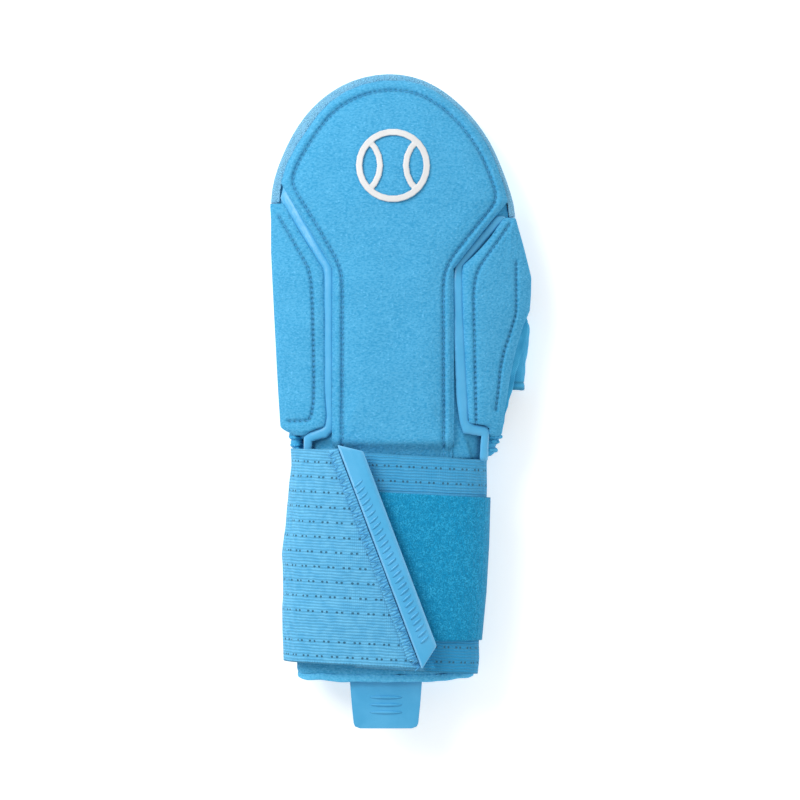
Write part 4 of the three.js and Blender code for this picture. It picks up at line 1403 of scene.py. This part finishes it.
@dataclass
class Pocket:
    """The carrying fabric pocket and the gathers at its wrist end."""

    palette: Palette
    fold: float = 1.4
    nip: float = 2.5
    edge: float = 1.8
    wrinkle: float = 0.22
    left_tall: float = 9.6
    right_tall: float = 10.2
    voxel: float = 0.4

    def build(self) -> bpy.types.Object:
        """Builds the pocket with soft wrinkles, and the two pleated gathers.

        Returns:
            The pocket.
        """
        piece = worked("hand_pocket", "pocket_cover", self.edge, 3)
        at, out = points_of(piece), normals_of(piece)
        side = 1 - np.abs(out[:, 2])
        at += out * (self.wrinkle * ripple(at, 13.0, 0.4) * side)[:, None]
        at[:, 0] += self.nip * ease(-at[:, 1], 14.0, 20.0) * ease(-at[:, 0], 20.0, 50.0)
        set_points(piece, at)
        # painted shade in the pocket's hollows near the wrist, on its upward faces
        slant = Line(traced((464.5, 433.6), (472.5, 459.5)), rounds=0).away(at[:, :2])[0]
        left = Line(traced((314, 444), (327, 442)), rounds=0).away(at[:, :2])[0]
        edge = np.interp(-at[:, 1], (15.3, 27.3), (29.3, 33.0))
        within = ease(at[:, 0] - edge, -0.3, 0.6) * ease(-at[:, 1], 14.0, 15.5)
        hollow = np.maximum(bell(slant, 0.7), 0.55 * within)
        hollow = np.maximum(hollow, bell(left, 2.2))
        crease = 0.6 * hollow * ease(out[:, 2], 0.0, 0.5)
        dressed(piece, Slot.KNIT, self.palette.body, "hand_pocket", angle=50, crease=crease)
        left_run = traced(
            (286, 429.5), (289.0, 433.5), (289.2, 437.3), (290.4, 441.2), (291.0, 445.0), (294.0, 449.0)
        )
        left_root = traced((305.5, 440.0))[0][0]
        self.gather("gather_left", "left_gather", left_run, left_root, self.left_tall)
        right_run = traced(
            (500.0, 432.5), (502.3, 436.7), (499.8, 441.0), (497.0, 445.2),
            (497.2, 449.2), (493.0, 453.2), (488.5, 457.0),
        )
        right_root = traced((477.5, 440.0))[0][0]
        self.gather("gather_right", "right_gather", right_run, right_root, self.right_tall)
        return piece

    def gather(self, node: str, name: str, run: list[Flat], root: float, tall: float) -> None:
        """Builds one gather as a row of bunched folds, melted into each other.

        Args:
            node: the solid that it stands for.
            name: the new piece.
            run: the outer tips of the folds, from the fingers towards the wrist.
            root: how far across the mitt the folds begin.
            tall: half the height of a fold at its root.
        """
        low, high = (np.array(corner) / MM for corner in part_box(node))
        level = (low[2] + high[2]) / 2
        made = []
        for number, (x, y) in enumerate(run):
            swing = math.sin(2.4 * number + tall)
            half = abs(x - root) / 2
            nothing_selected()
            place = ((x + root) / 2 * MM, y * MM, (level + 0.5 * swing) * MM)
            bpy.ops.mesh.primitive_uv_sphere_add(segments=24, ring_count=14, radius=MM, location=place)
            fold = bpy.context.object
            bpy.ops.object.mode_set(mode="EDIT")
            bpy.ops.mesh.select_all(action="SELECT")
            bpy.ops.transform.resize(
                value=(half + 0.2 * swing, self.fold, tall + 0.4 * swing), center_override=place
            )
            bpy.ops.transform.rotate(value=0.12 * swing, orient_axis="Z", center_override=place)
            bpy.ops.object.mode_set(mode="OBJECT")
            bpy.ops.object.transform_apply(location=True, rotation=True, scale=True)
            made.append(fold)
        piece = gathered(name, made)
        modified(piece, "REMESH", mode="VOXEL", voxel_size=self.voxel * MM)
        relaxed(piece, 5)
        at, out = points_of(piece), normals_of(piece)
        at += out * (0.3 * ripple(at, 3.1, 2.0) + 0.25 * ripple(at, 7.0, 5.0))[:, None]
        set_points(piece, at)
        heights = np.array([y for _, y in run])
        nearest = np.abs(at[:, 1][:, None] - heights).min(axis=1)
        # painted shade between the folds
        crease = 0.3 * ease(nearest, 0.5, 1.0)
        dressed(piece, Slot.STRETCH, self.palette.stretch, node, crease=crease)


@dataclass
class ThumbSide:
    """The thumb's sleeve with its hem, and the gusset above it."""

    palette: Palette
    mouth_y: float = 4.7
    hem: float = 3.4
    edge: float = 1.3
    wave: float = 0.25
    reach: float = 2.6

    def build(self) -> None:
        """Builds the sleeve and the gusset, whose inner edge reaches in under the panel."""
        finish = self.palette.stretch
        sleeve = worked("thumb_sleeve", "thumb_cover", self.edge, 2)
        at, out = points_of(sleeve), normals_of(sleeve)
        hem = bell(at[:, 1] - self.mouth_y - self.hem, 0.5)
        lip = bell(at[:, 1] - self.mouth_y - 0.6, 0.7)
        at += out * (self.wave * ripple(at, 9.0, 3.0) - 0.35 * hem)[:, None]
        set_points(sleeve, at)
        # painted shade in the hem's groove and at the sleeve's mouth
        crease = np.maximum(0.6 * hem, 0.7 * lip)
        dressed(sleeve, Slot.STRETCH, finish, "thumb_sleeve", angle=60, crease=crease)
        gusset = worked("thumb_gusset", "gusset_cover", self.edge, 3)
        at, out = points_of(gusset), normals_of(gusset)
        at += out * (self.wave * ripple(at, 8.0, 5.0))[:, None]
        at[:, 0] -= self.reach * (1 - ease(at[:, 0], 36.0, 41.0)) * ease(-at[:, 1], -6.0, 2.0)
        set_points(gusset, at)
        dressed(gusset, Slot.STRETCH, finish, "thumb_gusset", angle=60, crease=0.0)


@dataclass
class Wrist:
    """Everything at the wrist: cuff, hem, wrapped strap, patch, edging, bar and tab."""

    palette: Palette
    axis_x: float = -6.0
    axis_z: float = 20.0
    half_x: float = 46.0
    half_z: float = 20.0
    slant: float = 0.05
    strap_top: float = -22.2
    plain_row: float = 83.0
    corner_left: float = 2.4
    corner_right: float = 1.8
    corner_down: float = 3.2
    end_down: float = 0.7
    cuff_edge: float = 2.2
    hem_edge: float = 1.1
    strap_edge: float = 1.6
    patch_edge: float = 1.0
    zigzag: float = 1.7
    zigzag_reach: float = 1.45
    bevel_angle: float = 40.0
    bar_bevel: float = 1.1
    bar_ridges: int = 27
    tab_bevel: float = 0.7

    def worn(self, at: np.ndarray) -> None:
        """Draws the wrist's sides in below the hand and out towards its end.

        Args:
            at: a piece's points, which are moved.
        """
        left = np.interp(
            -at[:, 1],
            (18.3, 29.8, 37.6, 45.9, 54.1, 62.0, 89.6, 98.3, 109.3, 117.2),
            (2.5, 2.5, 1.4, 0.9, 0.4, 0.0, 0.0, -0.9, -1.8, -2.3),
        )
        right = np.interp(-at[:, 1], (105.0, 118.0), (0.0, 1.4))
        at[:, 0] += left * ease(-at[:, 0], 20.0, 50.0) + right * ease(at[:, 0], 10.0, 36.0)

    def cuff(self) -> None:
        """Builds the cuff and its bound end, squared at the corners."""
        for node, name, long, finish in (
            ("wrist_cuff", "cuff_cover", self.cuff_edge, self.palette.knit),
            # the binding takes the lighter knit copy: painted light
            ("cuff_hem", "cuff_binding", self.hem_edge, self.palette.hem),
        ):
            piece = worked(node, name, long, 2)
            at, out = points_of(piece), normals_of(piece)
            at += out * (0.2 * ripple(at, 9.0, 1.0))[:, None]
            self.worn(at)
            low = ease(-at[:, 1], 108.0, 119.0)
            at[:, 0] -= self.corner_left * low * ease(-at[:, 0], 22.0, 42.0)
            at[:, 0] += self.corner_right * low * ease(at[:, 0], 12.0, 30.0)
            sides = ease(np.abs(at[:, 0] - self.axis_x), 30.0, 42.0)
            at[:, 1] -= self.corner_down * low * sides
            if node == "wrist_cuff":
                at[:, 1] -= self.end_down * ease(-at[:, 1], 119.0, 122.0)
            set_points(piece, at)
            dressed(piece, Slot.KNIT, finish, node, angle=60, crease=0.0)

    def weave(self, at: np.ndarray) -> np.ndarray:
        """Measures points in the strap's own axes.

        Args:
            at: the points.

        Returns:
            How far each lies along the strap round the wrist and across it, and a zero.
        """
        turn = np.arctan2(
            (at[:, 2] - self.axis_z) / self.half_z, (at[:, 0] - self.axis_x) / self.half_x
        )
        steps = np.linspace(-math.pi, math.pi, 241)
        ring = np.stack((self.half_x * np.cos(steps), self.half_z * np.sin(steps)), axis=1)
        run = np.concatenate(((0.0,), np.cumsum(np.linalg.norm(np.diff(ring, axis=0), axis=1))))
        along = np.interp(turn, steps, run)
        across = self.strap_top - at[:, 1] - self.slant * at[:, 0]
        return np.stack((along, across, np.zeros(len(at))), axis=1)

    def diagonal(self) -> tuple[Flat, Flat]:
        """Gives the strap's slanted end as rising heights and the matching places across."""
        foot, top = traced((425, 668), (340, 450))
        return (foot[1], top[1]), (foot[0], top[0])

    def strap(self) -> bpy.types.Object:
        """Builds the wrapped strap with its perforations marked.

        Returns:
            The strap.
        """
        piece = worked("wrist_strap", "ribbed_strap", self.strap_edge, 3, level=True)
        at, out = points_of(piece), normals_of(piece)
        at += out * (0.18 * ripple(at, 22.0, 4.0))[:, None]
        weave = self.weave(at)
        self.worn(at)
        set_points(piece, at)
        across = weave[:, 1]
        # painted shade over the strap's top past the bar's slanted end, deepening towards the cuff's end
        beyond = ease(at[:, 0] - np.interp(at[:, 1], *self.diagonal()), -1.0, 1.0)
        inner = beyond * ease(at[:, 2], -2.0, 20.0)
        plain = bell(across - self.plain_row, 3.0, 4)
        # painted shade on the strap's upper and lower edge faces
        dressed(
            piece, Slot.RIBBED, self.palette.ribbed, "wrist_strap",
            angle=50,
            weave=weave,
            pierced=(1 - plain) * ease(across, 4.0, 4.8),
            inner=inner * np.interp(across, (20.0, 80.0), (0.62, 0.9)),
            crease=0.3 * ease(np.abs(out[:, 1]), 0.4, 0.9),
        )
        return piece

    def patch(self) -> bpy.types.Object:
        """Builds the brushed patch with a tufted surface.

        Returns:
            The patch.
        """
        piece = worked("loop_patch", "brushed_patch", self.patch_edge, 2, level=True)
        at, out = points_of(piece), normals_of(piece)
        up = ease(out[:, 2], 0.1, 0.5)
        tuft = ripple(at, 2.0, 6.0) * 0.09 + ripple(at, 5.5, 2.0) * 0.06
        at += out * (tuft * up)[:, None]
        set_points(piece, at)
        # painted shadow of the bar over the patch, fading away from the bar's slanted end, and painted shade
        # on the patch's sides
        past = at[:, 0] - np.interp(at[:, 1], *self.diagonal())
        shade = 0.34 * np.exp(-np.maximum(past - 4.0, 0) / 12.0)
        crease = np.maximum(0.3 * (1 - up), shade)
        dressed(piece, Slot.LOOP, self.palette.loop, "loop_patch", crease=crease)
        return piece

    def edging(self, line: Line, cover: Cover) -> None:
        """Builds the overlocked edge: its base and the zigzag thread over it.

        Args:
            line: where the edge runs.
            cover: what lies under it.
        """
        base = copy_of("strap_edging", "edging_base")
        finer(base, 1.2)
        at = points_of(base)
        away, along = line.away(at[:, :2])
        at[:, 2] += 0.15 * np.sin(math.tau * along / self.zigzag)
        set_points(base, at)
        weave = np.stack((away, along, np.zeros(len(at))), axis=1)
        dressed(
            base, Slot.RIBBED, self.palette.ribbed, "strap_edging",
            angle=60, weave=weave, pierced=0.0, inner=0.0, crease=0.0,
        )
        over = Cover(base)
        places = []
        for number in range(int(line.length / self.zigzag)):
            spot, way = line.at((number + 0.5) * self.zigzag)
            landed = over.drop(spot[0], spot[1]) or cover.drop(spot[0], spot[1])
            if landed:
                place, normal = landed
                side = 1 if number % 2 else -1
                slant = (way[0] * 0.42 - side * way[1], way[1] * 0.42 + side * way[0])
                places.append(lying(place + normal * 0.12, normal, slant))
        thread = grain_model(2.6 * self.zigzag_reach, 0.62, 0.5)
        dressed(repeated("edging_zigzag", thread, places), Slot.RIBBED, self.palette.thread)

    def moulded(self, node: str, name: str, bevel: float, longest: float) -> bpy.types.Object:
        """Copies a moulded solid and rounds its edges.

        Args:
            node: the solid's node.
            name: the new piece.
            bevel: width of the rounding.
            longest: length that an edge may keep.

        Returns:
            The piece.
        """
        piece = copy_of(node, name)
        limit = math.radians(self.bevel_angle)
        modified(
            piece, "BEVEL", width=bevel * MM, segments=3, limit_method="ANGLE", angle_limit=limit
        )
        finer(piece, longest)
        return piece

    def bar(self) -> None:
        """Builds the moulded bar with rounded edges and a plain row of grip ridges."""
        finish = self.palette.satin
        piece = self.moulded("pull_bar", "moulded_bar", self.bar_bevel, 2.2)
        # painted highlight on the bar's bevels and sides
        rubbed = 1 - ease(normals_of(piece)[:, 2], 0.6, 0.93)
        dressed(piece, Slot.SATIN, finish, "pull_bar", angle=35, crease=0.0, rubbed=rubbed)
        line = Line(traced((357.5, 480), (425.5, 640)), rounds=0)
        over = Cover(piece)
        places = []
        for spot, way in line.spaced(self.bar_ridges):
            landed = over.drop(spot[0], spot[1])
            if landed:
                slant = (way[1] + 0.35 * way[0], -way[0] + 0.35 * way[1])
                places.append(lying(*landed, slant))
        ridges = repeated("bar_ridges", grain_model(5.4, 1.2, 1.3), places)
        dressed(ridges, Slot.SATIN, finish)

    def tab(self) -> None:
        """Builds the pull tab with rounded edges and three plain grip ridges."""
        piece = self.moulded("pull_tab", "moulded_tab", self.tab_bevel, 2.0)
        dressed(piece, Slot.SATIN, self.palette.tab, "pull_tab", angle=35, crease=0.0)
        over = Cover(piece)
        spots = traced((386.0, 696.0), (386.0, 703.5), (386.0, 711.0))
        places = [lying(*over.drop(*spot), (1.0, 0.0)) for spot in spots]
        ridges = repeated("tab_ridges", grain_model(15.0, 1.6, 1.7), places)
        dressed(ridges, Slot.SATIN, self.palette.tab)

    def build(self) -> None:
        """Builds the wrist from the inside out."""
        self.cuff()
        strap = self.strap()
        patch = self.patch()
        line = Line(traced((331, 452), (418, 668)), rounds=0)
        self.edging(line, Cover(strap, patch))
        self.bar()
        self.tab()


@dataclass
class Badge:
    """The plain raised ring on the back."""

    palette: Palette
    voxel: float = 0.24

    def build(self) -> None:
        """Builds the ring with softened edges."""
        piece = copy_of("back_badge", "back_ring")
        modified(piece, "REMESH", mode="VOXEL", voxel_size=self.voxel * MM)
        relaxed(piece, 4)
        dressed(piece, Slot.PALE, self.palette.pale, "back_badge", crease=0.0)


@dataclass
class Studio:
    """Camera straight above, soft light and a pale floor."""

    span: float = 368.0
    lens: float = 300.0
    sensor: float = 36.0
    level: float = 15.0
    centre: Flat = (-0.37, 0.14)
    floor_side: float = 6.0
    floor_glow: float = 0.4
    sky: Colour = (0.95, 0.99, 1.0)
    sky_strength: float = 0.62

    def camera(self) -> None:
        """Sets the camera that looks straight down."""
        data = bpy.data.cameras.new("view")
        data.lens = self.lens
        data.sensor_width = self.sensor
        data.clip_start, data.clip_end = 0.05, 20.0
        camera = bpy.data.objects.new("view", data)
        camera.location = (
            self.centre[0] * MM,
            self.centre[1] * MM,
            (self.level + self.span * self.lens / self.sensor) * MM,
        )
        bpy.context.scene.collection.objects.link(camera)
        bpy.context.scene.camera = camera

    def lamp(self, name: str, place: Sequence[float], size: float, power: float, tint: Colour) -> None:
        """Hangs a square soft light that faces the mitt.

        Args:
            name: the lamp's name.
            place: where it hangs, in metres.
            size: its side in metres.
            power: its watts.
            tint: its colour.
        """
        data = bpy.data.lights.new(name, "AREA")
        data.shape = "SQUARE"
        data.size = size
        data.energy = power
        data.color = tint
        lamp = bpy.data.objects.new(name, data)
        lamp.location = place
        lamp.rotation_mode = "QUATERNION"
        lamp.rotation_quaternion = (-Vector(place)).to_track_quat("-Z", "Y")
        bpy.context.scene.collection.objects.link(lamp)

    def floor(self) -> None:
        """Lays the pale floor."""
        nothing_selected()
        bpy.ops.mesh.primitive_plane_add(size=self.floor_side, location=(0, 0, -0.5 * MM))
        floor = bpy.context.object
        floor.name = "pale_floor"
        bpy.ops.object.transform_apply(location=True, rotation=True, scale=True)
        s = Sheet("pale_floor")
        tone = s.blend(s.noise(s.place(), 8, 2), (0.9, 0.9, 0.9), (0.92, 0.92, 0.92))
        grain = s.bump(s.noise(s.place(), 300), 0.01)
        floor.data.materials.append(s.finish(tone, grain, roughness=0.9, specular=0.1))
        s.shader.inputs["Emission Color"].default_value = (1.0, 1.0, 1.0, 1.0)
        s.shader.inputs["Emission Strength"].default_value = self.floor_glow

    def build(self) -> None:
        """Sets up the whole studio."""
        scene = bpy.context.scene
        scene.view_settings.view_transform = "Standard"
        world = bpy.data.worlds.new("studio")
        world.use_nodes = True
        back = world.node_tree.nodes["Background"]
        back.inputs["Color"].default_value = (*self.sky, 1.0)
        back.inputs["Strength"].default_value = self.sky_strength
        scene.world = world
        self.lamp("key", place=(-0.9, 0.75, 1.1), size=0.8, power=17.5, tint=(1.0, 1.0, 1.0))
        self.lamp("fill", place=(0.9, -0.5, 1.0), size=1.3, power=3.0, tint=(0.8, 0.95, 1.0))
        self.camera()
        self.floor()


def main() -> None:
    """Builds the mitt, one sub-assembly after the other."""
    logging.basicConfig(level=logging.INFO, format="%(message)s")
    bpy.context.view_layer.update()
    Studio().build()
    palette = Palette.mixed()
    pocket = Pocket(palette).build()
    ThumbSide(palette).build()
    Bumper(palette).build()
    Channels(palette, pocket).build()
    BackPanels(palette).build()
    Badge(palette).build()
    Wrist(palette).build()


if __name__ == "__main__":
    main()
